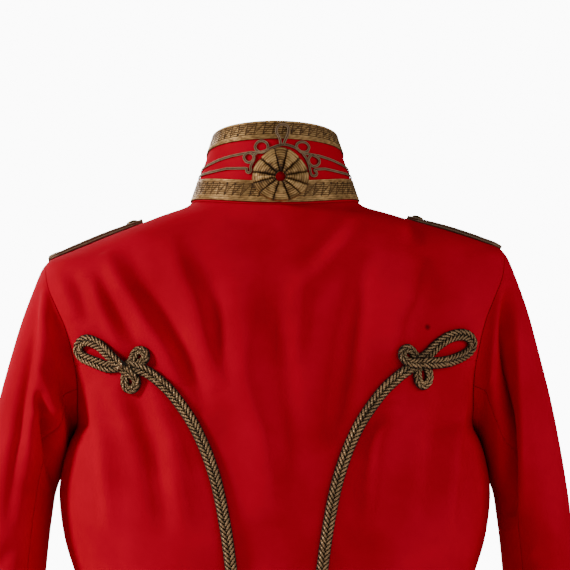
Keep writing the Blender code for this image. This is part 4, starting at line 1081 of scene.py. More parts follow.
# ------------------------------------------------------------------ body and sleeves
@dataclass
class Body:
    """The back, its two side pieces and the two fronts."""

    finishes: Finishes
    shoulder_rows: int = 28
    back_columns: int = 128
    side_columns: int = 36
    over_columns: tuple[int, int, int] = (12, 7, 50)  # on the lap, down its slope and on to the side
    under_columns: int = 62
    rounds: int = 160  # of softening the bend of the back's columns
    pieces: dict[str, bpy.types.Object] = field(default_factory=dict)

    def panel(self, name: str, cut: str, angles: Array, rings: Array, arm_edges: Sequence[tuple],
              raised: Callable[[Array], Array] | None = None) -> None:
        """Build one piece of the body.

        Args:
            name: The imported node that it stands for, which names it too.
            cut: The entry of CUTS.
            angles: A grid of angles.
            rings: A grid of rings.
            arm_edges: First row, column, side and thetas of each edge on an armhole.
            raised: How far the piece stands up at each point.
        """
        points = body(angles, rings)
        facing = facing_of(points)
        for first, column, side, thetas in arm_edges:
            facing[first:first + len(thetas), column] = mitre(thetas) * [side, 1, 1]
        outer = opened(points, facing, SEAM_GAP / 2, SEAM_SINK)
        if raised:
            way = facing.copy()
            way[0, :, 2] = 0
            outer += unit(way) * raised(points)[..., None]
        self.pieces[name] = cloth_piece(name, cut, outer, outer - facing * CLOTH, self.finishes)

    def seam(self) -> Array:
        """The curved seam of the back.

        Returns:
            Rows of its place in the table, height and distance from the middle, evenly apart.
        """
        fine = finer(np.column_stack([np.arange(len(BACK_SEAM)), BACK_SEAM]), 24)
        length = so_far(fine[:, 1:])
        return read(np.linspace(0, length[-1], round(length[-1] / ROW_STEP)), length, fine)

    def back(self) -> None:
        """Build the back, from the neck and shoulder seams to the hem."""
        shoulder = np.linspace(0, ARM_RING, self.shoulder_rows, endpoint=False)
        thetas = np.radians(np.arange(0, SEAM_ARM_ANGLE + 1, ARM_STEP))
        arm = armhole_height(thetas)
        place, seam, x = self.seam().T
        at_edge = np.concatenate([shoulder, ring_at(arm), ring_at(seam)])
        edge = np.concatenate([0 * shoulder, armhole_angle(arm, True), angle_at(x, seam)])
        angles = rows_between(edge, np.pi - edge, self.back_columns, 0.005)
        first = len(shoulder)
        last = first + len(arm) + int(np.searchsorted(place, SEAM_TURN + 1))
        at_middle = at_edge.copy()
        at_middle[first:last + 1] = np.linspace(at_edge[first], at_edge[last], last - first + 1)
        share = np.abs(np.linspace(-1, 1, angles.shape[1])) ** 3
        rings = at_middle[:, None] + (at_edge - at_middle)[:, None] * share
        for _ in range(self.rounds):  # the columns bend softly where the armhole gives way to the seam
            for grid in (angles, rings):
                grid[1:-1] += (0.25 * (grid[:-2] + grid[2:]) - 0.5 * grid[1:-1]) * (1 - share)
        self.panel("back", "back", angles, rings, [(first, 0, 1, thetas), (first, -1, -1, thetas)])

    def side_backs(self) -> None:
        """Build the side pieces of the back, between its curved seams and the side seams."""
        place, seam, x = self.seam().T
        seam_angle, seam_ring = angle_at(x, seam), ring_at(seam)
        top = place <= SEAM_TURN
        arm = armhole_height(np.radians([SEAM_ARM_ANGLE]))
        across = np.stack([np.concatenate([armhole_angle(arm, True), seam_angle[top]]),
                           np.concatenate([ring_at(arm), seam_ring[top]])], 1)
        columns = self.side_columns
        across = spline(across, np.linspace(0, len(across) - 1, columns + 1))
        row = np.linspace(0, 1, 7)[1:]
        down = np.concatenate([SEAM_TURN + (k + row) for k in range(6)] + [place[place > SEAM_TURN + 6]])
        height, distance = spline(BACK_SEAM, down).T
        share = down - SEAM_TURN
        theta = np.radians(np.minimum(SEAM_ARM_ANGLE + 18 * share, 180))
        side = np.where(share <= 4, armhole_height(theta),
                        np.where(share < 6, spline(SIDE_HEIGHTS, share - 4), height))
        edge = np.where(share < 4, armhole_angle(np.maximum(side, ARM_BOTTOM + 1e-6), True), 0)
        angles = rows_between(edge, angle_at(distance, height), columns, 0.02)
        rings = rows_between(ring_at(side), ring_at(height), columns, 0.02)
        curve = across - (across[0] + (across[-1] - across[0]) * np.linspace(0, 1, columns + 1)[:, None])
        fade = np.clip(1 - share / 2.5, 0, 1)[:, None] ** 2
        angles = np.vstack([across[:, 0], angles + curve[:, 0] * fade])
        rings = np.vstack([across[:, 1], rings + curve[:, 1] * fade])
        thetas = np.concatenate([[np.radians(SEAM_ARM_ANGLE)], theta[share <= 4]])
        self.panel("side_back_left", "side_back", angles, rings, [(0, 0, 1, thetas)])
        self.panel("side_back_right", "side_back", np.pi - angles[:, ::-1], rings[:, ::-1],
                   [(0, -1, -1, thetas)])

    def fronts(self) -> None:
        """Build the fronts: the wearer's left one laps over the right one."""
        thetas = np.radians(np.arange(0, 181, ARM_STEP))
        arm = armhole_height(thetas)
        shoulder = np.linspace(0, ARM_RING, self.shoulder_rows, endpoint=False)
        lower = np.linspace(ARM_BOTTOM, HEM, round((ARM_BOTTOM - HEM) / ROW_STEP))[1:]
        rings = np.concatenate([shoulder, ring_at(arm), ring_at(lower)])
        heights = spline(np.array(RINGS)[:, 0], rings)
        first = len(shoulder)
        side = np.zeros(len(rings))
        side[first:first + len(arm) - 1] = armhole_angle(arm[:-1], False)
        near, far = LAP_UNDER + LAP_SPARE, LAP_UNDER + LAP_SPARE + LAP_SLOPE
        lap, slope, rest = self.over_columns
        left = np.hstack([
            rows_between(-np.pi + angle_at(LAP_OVER, heights), -angle_at(near, heights), lap, 0.04),
            rows_between(-angle_at(near, heights), -angle_at(far, heights), slope, 1 / slope)[:, 1:],
            rows_between(-angle_at(far, heights), side, rest)[:, 1:]])
        right = rows_between(-np.pi - side, -angle_at(LAP_UNDER, heights), self.under_columns)
        self.panel("front_left", "front", left, np.broadcast_to(rings[:, None], left.shape),
                   [(first, -1, 1, -thetas)], self.lap)
        self.panel("front_right", "front", right, np.broadcast_to(rings[:, None], right.shape),
                   [(first, 0, -1, -thetas)])

    @staticmethod
    def lap(points: Array) -> Array:
        """How far the over front stands up near centre front: a soft step down from LAP_RAISE."""
        near, far = (LAP_UNDER + LAP_SPARE) * MM, (LAP_UNDER + LAP_SPARE + LAP_SLOPE) * MM
        return (1 - smooth(points[..., 0], near, far)) * LAP_RAISE * MM

    def build(self) -> None:
        """Build the whole body."""
        self.back()
        self.side_backs()
        self.fronts()


@dataclass
class Sleeves:
    """An upper and an under sleeve for each arm."""

    finishes: Finishes
    rows: int = round(640 / ROW_STEP)  # down an arm of about 640 mm
    first_rows: tuple[float, float, float] = (0, 0.04, 0.15)  # stations beside the armhole
    pieces: dict[str, bpy.types.Object] = field(default_factory=dict)

    @staticmethod
    def dressed(side: Side, theta: Array, station: Array) -> Array:
        """One sleeve with its creases, which start past the armhole.

        Args:
            side: Whose arm.
            theta: As armhole takes it, the other way round on the right.
            station: As sleeve takes it.

        Returns:
            Points in metres.
        """
        plain = sleeve_on(side)
        points, facing = plain(theta, station), normals(plain, theta, station)
        lift = relief(points, facing, SLEEVE_CREASES) * smooth(station, 0.0, 1.3)
        return points + facing * lift[..., None]

    def build(self) -> None:
        """Build the four pieces."""
        *first, start = self.first_rows
        stations = np.concatenate([first, np.linspace(start, len(SLEEVE), self.rows)])
        cuts = {"sleeve_under": (HINDARM_SEAM, FOREARM_SEAM),
                "sleeve_upper": (FOREARM_SEAM, HINDARM_SEAM + 360)}
        for side in Side:
            for cut, (start, end) in cuts.items():
                theta = np.radians(np.arange(start, end + 0.1, ARM_STEP))
                u, v = np.broadcast_arrays(side.value * theta[None, :], stations[:, None])
                points = self.dressed(side, u, v)
                inward = normals(sleeve_on(side), u, v)
                inward[0] = mitre(theta) * [side.value, 1, 1]
                outer = opened(points, facing_of(points, side.value), ARM_GAP, SEAM_SINK)
                name = f"{cut}_{side.word}"
                self.pieces[name] = cloth_piece(name, cut, outer, outer - inward * CLOTH, self.finishes)


# ------------------------------------------------------------------ collar
@dataclass
class Collar:
    """The stand collar; sizes are in millimetres."""

    finishes: Finishes
    columns: int = 240
    rows: int = 24
    rounding: float = 0.8  # of its top edge
    overlap: float = 0.05  # how far it passes the neck seam

    def build(self) -> None:
        """Build the stiffened collar with its rounded top edge."""
        angle = collar_angles(self.columns)
        down = np.linspace(0, 1, self.rows + 1)[:, None] * (1 + self.overlap / collar_height(angle))
        u = np.broadcast_to(angle, down.shape)
        points, facing = collar_surface(u, down), normals(collar_surface, u, down)
        curve = (self.rounding * MM * np.exp(-((down / 0.012) ** 2)))[..., None]
        points = points - facing * curve
        cloth_piece("collar", "collar", points, points - facing * (COLLAR_CLOTH - curve), self.finishes)


@dataclass(frozen=True)
class Lace:
    """A band of gilt lace round the collar; sizes are in millimetres."""

    name: str
    width: float
    top: bool  # whether it lies along the top edge
    upper: tuple[float, int]  # width of its upper edge, and that edge's ribs
    lower: tuple[float, int]
    columns: int = 520
    rows: int = 38
    pitch: float = 8.3  # of the zigzag
    thread: float = 1.9  # of the level threads
    base: float = 0.3  # from the cloth to its underside
    ground: float = 0.85 * LACE_THICK  # its thickness below the threads

    def weave(self, x: Array, y: Array) -> tuple[Array, Array]:
        """Weave the band: ribs |sin|^0.7 along both edges, and between them a zigzag groove that parts
        triangles of level threads, every second one raised.

        Args:
            x: Places along the band.
            y: Places down it.

        Returns:
            How high it is, and how bright: painted shade in the groove and between the ribs, painted highlight
                on the ridge, the rib tops and the raised triangles.
        """
        low, high = self.upper[0], self.width - self.lower[0]
        phase = x / self.pitch
        zigzag = low + (high - low) * (1 - np.abs(2 * (phase - np.floor(phase)) - 1))
        away = (y - zigzag) / math.hypot(1, 2 * (high - low) / self.pitch)
        threads = 0.5 + 0.5 * np.cos(2 * np.pi * y / self.thread)
        groove = np.exp(-((away / 0.42) ** 2))
        ridge = np.exp(-(((away - 0.75) / 0.32) ** 2))
        rise = 0.2 + 0.2 * threads + 0.04 * (away > 0) - 0.12 * groove + 0.05 * ridge
        # Painted light: the groove is darkened as painted shade, and the ridge and the raised side are
        # lightened as painted highlight.
        shade = 0.42 + 0.85 * (threads - 0.5) + 0.12 * (away > 0) - groove + 0.3 * ridge
        border = np.minimum(np.minimum(np.abs(y - low), np.abs(y - high)), 1)
        ribs = np.where(y <= low, y * self.upper[1] / low, (self.width - y) * self.lower[1] / self.lower[0])
        rib = np.abs(np.sin(np.pi * ribs)) ** 0.7
        inside = (y > low) & (y < high)
        rise = np.where(inside, rise * smooth(border, 0, 0.5), 0.12 + 0.42 * rib)
        # The ribs' tops take painted highlight and the dips between them take painted shade.
        return rise, np.where(inside, shade, 0.1 + 0.85 * rib)

    def build(self, finishes: Finishes) -> None:
        """Lay the band round the collar.

        Args:
            finishes: The finishes.
        """
        angle = collar_angles(self.columns)
        height = collar_height(angle)
        start, end = (0 * height, self.width / height) if self.top else (
            1 - (self.width + LACE_FROM_SEAM) / height, 1 - LACE_FROM_SEAM / height)
        share = np.linspace(0, 1, self.rows + 1)[:, None]
        down = start + (end - start) * share
        u = np.broadcast_to(angle, down.shape)
        points, facing = collar_surface(u, down), normals(collar_surface, u, down)
        uv = lengths(points)
        x, y = uv[..., 0], share * self.width + 0 * u
        rise, shade = self.weave(x, y)
        rise = rise * smooth(share, 0, 0.012) * smooth(1 - share, 0, 0.012)
        worn = 0.16 * np.sin(x * 0.71) * np.sin(x * 0.23 + y)
        under = points + facing * self.base * MM
        form = Form()
        form.wall(settle(under + facing * ((self.ground + rise) * MM)[..., None]), settle(under), uv,
                  np.clip(shade + worn, 0, 1))
        made = form.finish(self.name + "_weave", (finishes.lace,), [self.name])
        CUTS[self.name].declare(made)


LACES = (Lace("collar_lace_top", LACE_TOP_WIDTH, True, (1.6, 1), (4.2, 3)),
         Lace("collar_lace_bottom", LACE_BOTTOM_WIDTH, False, (2.9, 2), (4.6, 3)))


@dataclass(frozen=True)
class Rosette:
    """The rosette of pleated lace; sizes are in millimetres."""

    x: float = -3.9  # its middle, seen from behind
    z: float = 14.8
    radius: float = 25
    tall: float = 0.91  # its height, as a share of its width
    hole: float = 4.4
    pleats: int = 12
    steps: int = 36  # in a pleat
    rings: int = 40
    thread: float = 2.1  # of the level threads
    lift: float = 1.9  # from the collar to its underside

    def fold(self, r: Array, turn: Array) -> tuple[Array, Array, Array]:
        """Fold the pleats: 1 - |2 t - 1|^p with t the share of a pleat, round at the middle and flat at the
        rim, with ribs and level threads that run round it.

        Args:
            r: Distances from the middle.
            turn: Angles round it.

        Returns:
            How high it stands, how far out each place lies and how bright it is: painted highlight on the
            pleats' crests and painted shade in their folds.
        """
        t = self.pleats * turn / (2 * np.pi) - 0.5 + 0.10 * np.sin(3 * turn + 1)
        number = np.floor(t)
        uneven = np.sin(number * 2.4) * 0.5
        rim = smooth(r, 6, self.radius - 3)
        lean = (t - number) ** (1.0 + 0.22 * uneven)
        round_pleat = np.sin(np.pi * lean) ** 0.55
        flat_pleat = 1 - np.abs(2 * lean - 1) ** (6 + 6 * rim)
        pleat = round_pleat * (1 - rim) + flat_pleat * rim
        deep = 2.9 * smooth(r, 2, 9) * (1 - 0.62 * smooth(r, 15, self.radius - 2))
        edge = np.minimum(np.minimum(r - self.hole, self.radius - r) / 0.7, 1) ** 0.5
        threads = 0.5 + 0.5 * np.cos(2 * np.pi * r / self.thread)
        rib = sum(np.exp(-(((r - self.radius + inset) / 0.6) ** 2)) for inset in (1.1, 2.9))
        fine = 0.22 * threads * (r < self.radius - 4) + 0.42 * rib
        rise = (1.0 + deep * pleat + fine + 0.35 * uneven * rim) * edge + 0.25
        scallop = 1 - 0.035 * (1 - pleat) * rim + 0.012 * uneven
        out = self.hole + (r - self.hole) * np.where(r > self.hole + 0.5, scallop, 1)
        mottle = 0.3 * np.sin(5 * turn + 0.5 * r) * np.sin(0.37 * r + 2.3 * number)
        # Painted light: the pleats' crests lighter, their folds darker.
        high = 0.7 * pleat ** 3 * (0.5 + 0.5 * smooth(r, 3, 14)) + 0.6 * (threads - 0.5) + mottle
        return rise, out, np.clip(high + 0.36 * uneven - 0.04, 0, 1)

    def build(self, finishes: Finishes) -> None:
        """Lay the rosette on the collar.

        Args:
            finishes: The finishes.
        """
        turns = np.linspace(0, 2 * np.pi, self.pleats * self.steps + 1)[:-1]
        radii = np.concatenate([[self.hole, self.hole + 0.2],
                                np.linspace(self.hole + 0.7, self.radius - 0.3, self.rings), [self.radius]])
        r, turn = np.meshgrid(radii, turns)
        rise, out, high = self.fold(r, turn)
        tall = self.tall * (1 + 0.22 * np.clip(np.sin(turn), 0, 1) ** 4)
        angle, down = collar_place(self.x + out * np.cos(turn), self.z + out * np.sin(turn) * tall)
        points, facing = collar_surface(angle, down), normals(collar_surface, angle, down)
        under = points + facing * self.lift * MM
        form = Form()
        form.wall(settle(under + facing * (rise * MM)[..., None]), settle(under),
                  np.stack([turn * 14, r], -1), high, closed=True)
        form.finish("collar_rosette_pleats", (finishes.lace,), ["collar_rosette"])


@dataclass
class CollarBraid:
    """Double braid: two cords side by side, in loops round the rosette and in lines to the collar's front."""

    finishes: Finishes
    thread: float = 1.2  # thickness of each of the two cords
    apart: float = 0.6  # from the middle of the braid to that of a cord, as a share of its thickness
    # The filler is coloured fully dark: painted shade between the two cords.
    filler: float = 0.5  # thickness of the dark cord below them
    # Places seen from behind; the lines add angle and height share on the way to the front.
    top: tuple = ((-4.2, 44.5), (-2.9, 50.9), (-0.4, 56.0), (-0.9, 60.3), (-3.4, 62.9), (-6.7, 63.5),
        (-9.7, 62.0), (-10.9, 58.7), (-10.2, 54.1), (-8.2, 49.3), (-6.6, 44.5))
    upper_left: tuple = ((23.1, 38.3), (16.6, 38.0), (10.6, 38.3), (7.4, 41.4), (7.9, 45.7), (11.1, 48.3),
        (15.8, 48.0), (18.6, 44.0), (17.5, 40.2), (13.8, 38.3), (9.6, 39.4), (5.0, 41.4), (0.1, 43.5),
        (-5.4, 45.2))
    middle_left: tuple = ((17.4, 37.4), (19.6, 34.9), (20.2, 31.6), (22.6, 29.0), (26.4, 29.7),
        (28.6, 33.5), (27.3, 36.8), (23.7, 38.0), (20.2, 35.4), (19.4, 32.0), (21.3, 28.2), (22.9, 24.3),
        (22.2, 21.4), (24.2, 19.1), (26.4, 20.9), (26.0, 23.2), (28.4, 23.7))
    upper_right: tuple = ((-31.9, 37.1), (-27.5, 37.7), (-22.5, 38.6), (-19.2, 41.9), (-18.6, 45.5),
        (-22.0, 48.2), (-26.8, 47.8), (-29.7, 44.2), (-28.1, 39.9), (-23.8, 38.9), (-19.7, 41.0),
        (-15.9, 43.2), (-10.9, 44.8), (-5.4, 45.2))
    middle_right: tuple = ((-24.0, 37.4), (-27.0, 33.2), (-29.3, 27.7), (-30.6, 22.1), (-31.6, 18.2),
        (-34.1, 17.0), (-36.5, 18.6), (-36.2, 21.1), (-34.2, 22.4), (-36.6, 23.6))
    curl_right: tuple = ((-31.9, 36.9), (-29.3, 33.4), (-29.6, 28.8), (-33.0, 26.0), (-37.1, 27.3),
        (-39.0, 31.1), (-37.2, 34.6), (-33.1, 36.3))
    # Angle and height share of each line; those of the left side go from the loops to the front.
    upper_line: tuple = ((54, 0.59), (41.4, 0.555), (26, 0.51), (8, 0.49), (-40, 0.49), (-83, 0.5))
    lower_line: tuple = ((50, 0.425), (42, 0.408), (33, 0.392), (20, 0.385), (0, 0.39), (-40, 0.415),
        (-83, 0.42))

    def lay(self, form: Form, angle: Array, down: Array, lift: float) -> None:
        """Lay the two cords along a route.

        Args:
            form: The form that they join.
            angle: The route round the collar.
            down: The route down it.
            lift: Millimetres from the cloth to the cords.
        """
        points, up = collar_surface(angle, down), normals(collar_surface, angle, down)
        path = through(points, 0.9 * MM)
        length = so_far(points)
        up = unit(read(np.linspace(0, length[-1], len(path)), length, up))
        sideways = beside(path, up)
        for sign in (1, -1):
            away = sideways * sign * self.thread * self.apart * MM
            middle = path + up * (lift + self.thread / 2) * MM + away
            form.tube(settle(middle), up, self.thread * MM, self.thread * MM)
        # The cord below is painted shade: relief 0 gives it the finish's darkest colour.
        form.tube(settle(path + up * (lift + 0.3) * MM), up, self.thread * 0.9 * MM, self.filler * MM, 6,
                  bright=0.0)

    def seen(self, places: Sequence) -> tuple[Array, Array]:
        """Angles and shares down the collar of places 1.2 mm apart on a route traced from behind."""
        x, z = through(places, 1.2).T
        return collar_place(x, z)

    def line(self, places: Sequence, left: bool) -> tuple[Array, Array]:
        """Find the places of one of the lines.

        Args:
            places: Angle and share of the height from the seam.
            left: Whether it lies on the wearer's left.

        Returns:
            Angle and down of closely spaced places.
        """
        degrees, share = spline(places, np.linspace(0, len(places) - 1, 160)).T
        angle = np.radians(degrees)
        return (angle if left else np.pi - angle), 1 - share

    def build(self) -> None:
        """Build the braid of both sides and the loop above the rosette."""
        routes = {Side.LEFT: (self.upper_left, self.middle_left),
                  Side.RIGHT: (self.upper_right, self.middle_right)}
        for side, (upper, middle) in routes.items():
            form = Form()
            # Each route is its line to the front joined to its loop; the upper one starts at the front.
            line, loop = self.line(self.upper_line, side is Side.LEFT), self.seen(upper)
            self.lay(form, *(np.concatenate([a[::-1], b]) for a, b in zip(line, loop)), 0.15)
            line, loop = self.line(self.lower_line, side is Side.LEFT), self.seen(middle)
            self.lay(form, *(np.concatenate([b, a]) for a, b in zip(line, loop)), 0.45)
            if side is Side.RIGHT:
                self.lay(form, *self.seen(self.curl_right), 0.8)
            nodes = [f"collar_loop_{n}_{side.word}" for n in ("large", "middle", "small")]
            nodes += [f"collar_braid_{n}_{side.word}" for n in ("upper", "lower")]
            form.finish(f"collar_braid_{side.word}_cords", (self.finishes.braid,), nodes)
        form = Form()
        self.lay(form, *self.seen(self.top), 2.2)
        form.finish("collar_loop_top_cords", (self.finishes.braid,), ["collar_loop_top"])


# ------------------------------------------------------------------ cords and buttons
@dataclass
class Ground:
    """The surface that some pieces make together, for laying things on it."""

    pieces: Sequence[bpy.types.Object]
    aside: float = 0.8 * MM  # from each ray to the four round it

    def __post_init__(self) -> None:
        """Join the pieces."""
        points, faces = [], []
        for piece in self.pieces:
            faces += [[len(points) + k for k in polygon.vertices] for polygon in piece.data.polygons]
            points += [vertex.co for vertex in piece.data.vertices]
        self.tree = BVHTree.FromPolygons(points, faces)

    def drop(self, x: Array, other: Array, from_behind: bool) -> Array:
        """Where rays from behind at (x, z), or from above at (x, y), meet the surface.

        Args:
            x: Places sideways.
            other: Heights, or places along Y.
            from_behind: Which way the rays run.

        Returns:
            The points that they meet, each the nearest of five rays close together.
        """
        hits = []
        for a, b in zip(x, other):
            found = []
            for da, db in ((0, 0), (self.aside, 0), (-self.aside, 0), (0, self.aside), (0, -self.aside)):
                start = Vector((a + da, 1, b + db)) if from_behind else Vector((a + da, b + db, 1))
                met = self.tree.ray_cast(start, Vector((0, -1, 0)) if from_behind else Vector((0, 0, -1)))[0]
                if met:
                    found.append(met.y if from_behind else met.z)
            hits.append((a, max(found), b) if from_behind else (a, b, max(found)))
        return np.array(hits)


@dataclass(frozen=True)
class Plait:
    """A flat plait of n cords: with t the waves so far plus k / n, cord k runs at sideways A sin(2 pi t) and
    at height B (1 + sin(2 pi (n - 1) t)).
    """

    strands: int
    turn: float  # length of one whole wave, in metres
    strand_width: float
    strand_thick: float
    rise: float  # B, in metres

    def lay(self, form: Form, path: Array, up: Array, width: Array, sag: tuple[Array, Array]) -> None:
        """Lay the plait along a route, each of its cords as two thinner ones side by side.

        Args:
            form: The form that it joins.
            path: The middle of its underside, evenly spaced.
            up: Directions away from the cloth.
            width: Its width at each point.
            sag: How far its right and left edges hang below its middle, in metres.
        """
        length, sideways = so_far(path), beside(path, up)
        wide = (width - self.strand_width) / 2
        for k in range(self.strands):
            t = 2 * np.pi * (length / self.turn + k / self.strands)
            wave = np.sin((self.strands - 1) * t)
            lift = self.strand_thick / 2 + self.rise * (1 + wave)
            lift = lift - np.where(np.sin(t) > 0, *sag) * np.sin(t) ** 2
            middle = path + sideways * (wide * np.sin(t))[:, None] + up * lift[:, None]
            apart = beside(middle, up) * self.strand_width / 4
            for sign in (1, -1):
                # Painted light: each cord is lighter where it lies high, with painted shade where it dives
                # under the others.
                form.tube(middle + apart * sign, up, self.strand_width / 2, self.strand_thick,
                          bright=0.55 + 0.45 * wave)


@dataclass(frozen=True)
class Gimp:
    """A thick plaited cord: arms run from both edges to the middle, and each covers the end of the last.

    Sizes are in metres.
    """

    pitch: float = 4.3 * MM
    reach: float = 7.4 * MM  # how far an arm runs along the cord
    arm: float = 2.3 * MM
    arm_thick: float = 2.4 * MM
    height: float = 3.0 * MM  # of the middle of the highest arm
    tuck: float = 0.2 * MM  # how far an arm's end passes the middle
    # The core is coloured fully dark: painted shade in the gaps between the arms.
    core: float = 0.84  # share of the cord's width and height that its plain core takes

    def lay(self, form: Form, path: Array, up: Array, width: Array, thick: Array) -> None:
        """Lay the cord along a route.  With q the share of an arm's way, it lies at sideways
        (width / 2)(1 - q)^0.9 and at height (0.34 + 0.66 sin(pi (0.08 + 0.78 q))) of its own.

        Args:
            form: The form that it joins.
            path: The middle of its underside.
            up: Directions away from the cloth.
            width: Its width at each point.
            thick: How much of its full thickness it has at each point.
        """
        length = so_far(path)
        rows = np.hstack([path, up, np.cross(ahead_of(path), up), thick[:, None], width[:, None]])
        tall = self.core * self.height * thick
        # Painted shade: the core's relief is 0.
        form.tube(path + up * tall[:, None] / 2, up, self.core * width, tall, 10, bright=0.0)
        q = np.linspace(0, 1, 10)
        height = self.height * (0.34 + 0.66 * np.sin(np.pi * (0.08 + 0.78 * q)))
        slim = 0.62 + 0.38 * np.sin(np.pi * q) ** 0.5
        # Painted light on each arm: highlight in its middle, shade at both ends where it dives.
        bright = np.clip(1.25 * np.sin(np.pi * (0.04 + 0.9 * q)), 0, 1)
        for side in (1, -1):
            for start in np.arange(side * self.pitch / 4, length[-1] - self.reach + self.pitch, self.pitch):
                place, out, right, full, wide = np.split(read(start + self.reach * q, length, rows),
                                                         [3, 6, 9, 10], axis=1)
                away = side * ((wide - self.arm) / 2 * (1 - q[:, None]) ** 0.9 - self.tuck)
                middle = place + out * (height[:, None] * full) + right * away
                form.tube(middle, out, self.arm * slim, self.arm_thick * slim * full[:, 0], bright=bright)


class Bend(NamedTuple):
    """One point of a cord's route on the back, seen from behind."""

    x: float
    z: float
    level: float = 0  # how far a crossing lifts it
    thick: float = 1  # how much of its thickness a crossing leaves it
    width: float = 12.6


# The strand of each knot, by its distance from the middle of the back and its height: round the large loop,
# across the middle and round both small loops, whose ends are tucked under.
KNOTS = {
    "left": [Bend(*row) for row in (
        (136, -157.6, 0, 0.5), (143, -158.2, 0, 0.7), (149.8, -157.4), (156.9, -154.3), (165.5, -150),
        (172.8, -145.5), (176.1, -139.3), (173.5, -133.6), (168.6, -131.8), (162.9, -133.6),
        (156.4, -137.6, 0.4), (151.1, -141.9, 1.6), (145.2, -147.5, 3.2), (140, -153.4, 3.9),
        (135.5, -158.3, 4, 1, 12.2), (130.7, -162.5, 3.6, 1, 11.6), (126.2, -166.2, 2.2, 1, 10.8),
        (123, -170.9, 0.6, 1, 10.4), (122.8, -175, 0, 1, 10), (124.9, -177.9, 0, 1, 10),
        (128.4, -178.8, 0, 1, 10), (131.9, -177.2, 0, 1, 10), (133.5, -173.6, 0, 1, 10),
        (133.3, -168.6, 0.4, 0.8, 10), (132, -163, 1.9, 0.5, 10), (129.3, -157, 1.9, 0.5, 10),
        (126.6, -152.6, 0.3, 0.9, 10), (125.4, -148.7, 0, 1, 10), (123.2, -145.8, 0, 1, 10),
        (119.9, -144.9, 0, 1, 10), (116.6, -146.3, 0, 1, 10), (114.7, -149.4, 0, 1, 10),
        (115.4, -153.2, 0, 1, 10), (118.9, -156.2, 0.8, 0.8, 10), (124, -158.6, 1.9, 0.5, 10))],
    "right": [Bend(*row) for row in (
        (123.5, -157.5, 1.9, 0.5), (130.5, -152.6, 1.4, 0.7), (136.4, -147.6), (140.3, -143.6),
        (146.4, -138.9), (153.1, -134.9), (160.4, -132.6), (167.1, -132.2), (172.2, -134.3), (175, -138.7),
        (173.6, -143.8), (168.9, -148.2), (161.8, -151.8, 0.5), (153.9, -154.6, 1.6), (146.4, -156.4, 2.8),
        (139.2, -157.3, 3.8), (131.3, -157.6, 4), (123.5, -157.8, 3.8, 1, 11.4),
        (117, -157.4, 2.6, 1, 10.6), (112.6, -154.9, 0.8, 1, 10), (110.6, -150.8, 0, 1, 10),
        (111.6, -147, 0, 1, 10), (114.9, -145.2, 0, 1, 10), (118.5, -146.6, 0, 1, 10),
        (121.8, -150.2, 0, 0.7, 10), (126.5, -154.5, 0, 0.5, 10), (131.5, -159.5, 0, 0.5, 10),
        (134, -163.6, 0, 0.8, 10), (134.9, -167.6, 0, 1, 10), (134.6, -171.6, 0, 1, 10),
        (132.9, -175, 0, 1, 10), (129.3, -176.9, 0, 1, 10), (125.7, -174.4, 0, 1, 10),
        (124.4, -169.6, 0, 1, 10), (124.6, -165, 0, 0.8, 10), (126, -160.5, 0, 0.5, 10))],
}
CORD_RUN = [Bend(*row) for row in (
    (113, -165.3), (106.5, -170.4), (95.5, -180.5), (86.3, -192), (76, -207), (68, -222), (59.5, -242),
    (51, -270), (43.5, -310), (38, -355), (34.3, -400), (33, -436))]
CORD_ENDS = {"left": [Bend(133.5, -158.4, 0, 0.5), Bend(126.5, -159.4, 0, 0.6), Bend(119.5, -161.9)],
             "right": [Bend(121, -160, 0, 0.5), Bend(117, -162.4, 0, 0.8)]}


def averaged(rows: Array, reach: int = 2) -> Array:
    """Even out a table.

    Args:
        rows: The table.
        reach: How many rows on each side count.

    Returns:
        Each number's mean over its row and those beside it.
    """
    count = 2 * reach + 1
    padded = np.pad(rows, ((reach, reach), (0, 0)), mode="edge")
    return np.stack([np.convolve(column, np.ones(count) / count, mode="valid") for column in padded.T], 1)


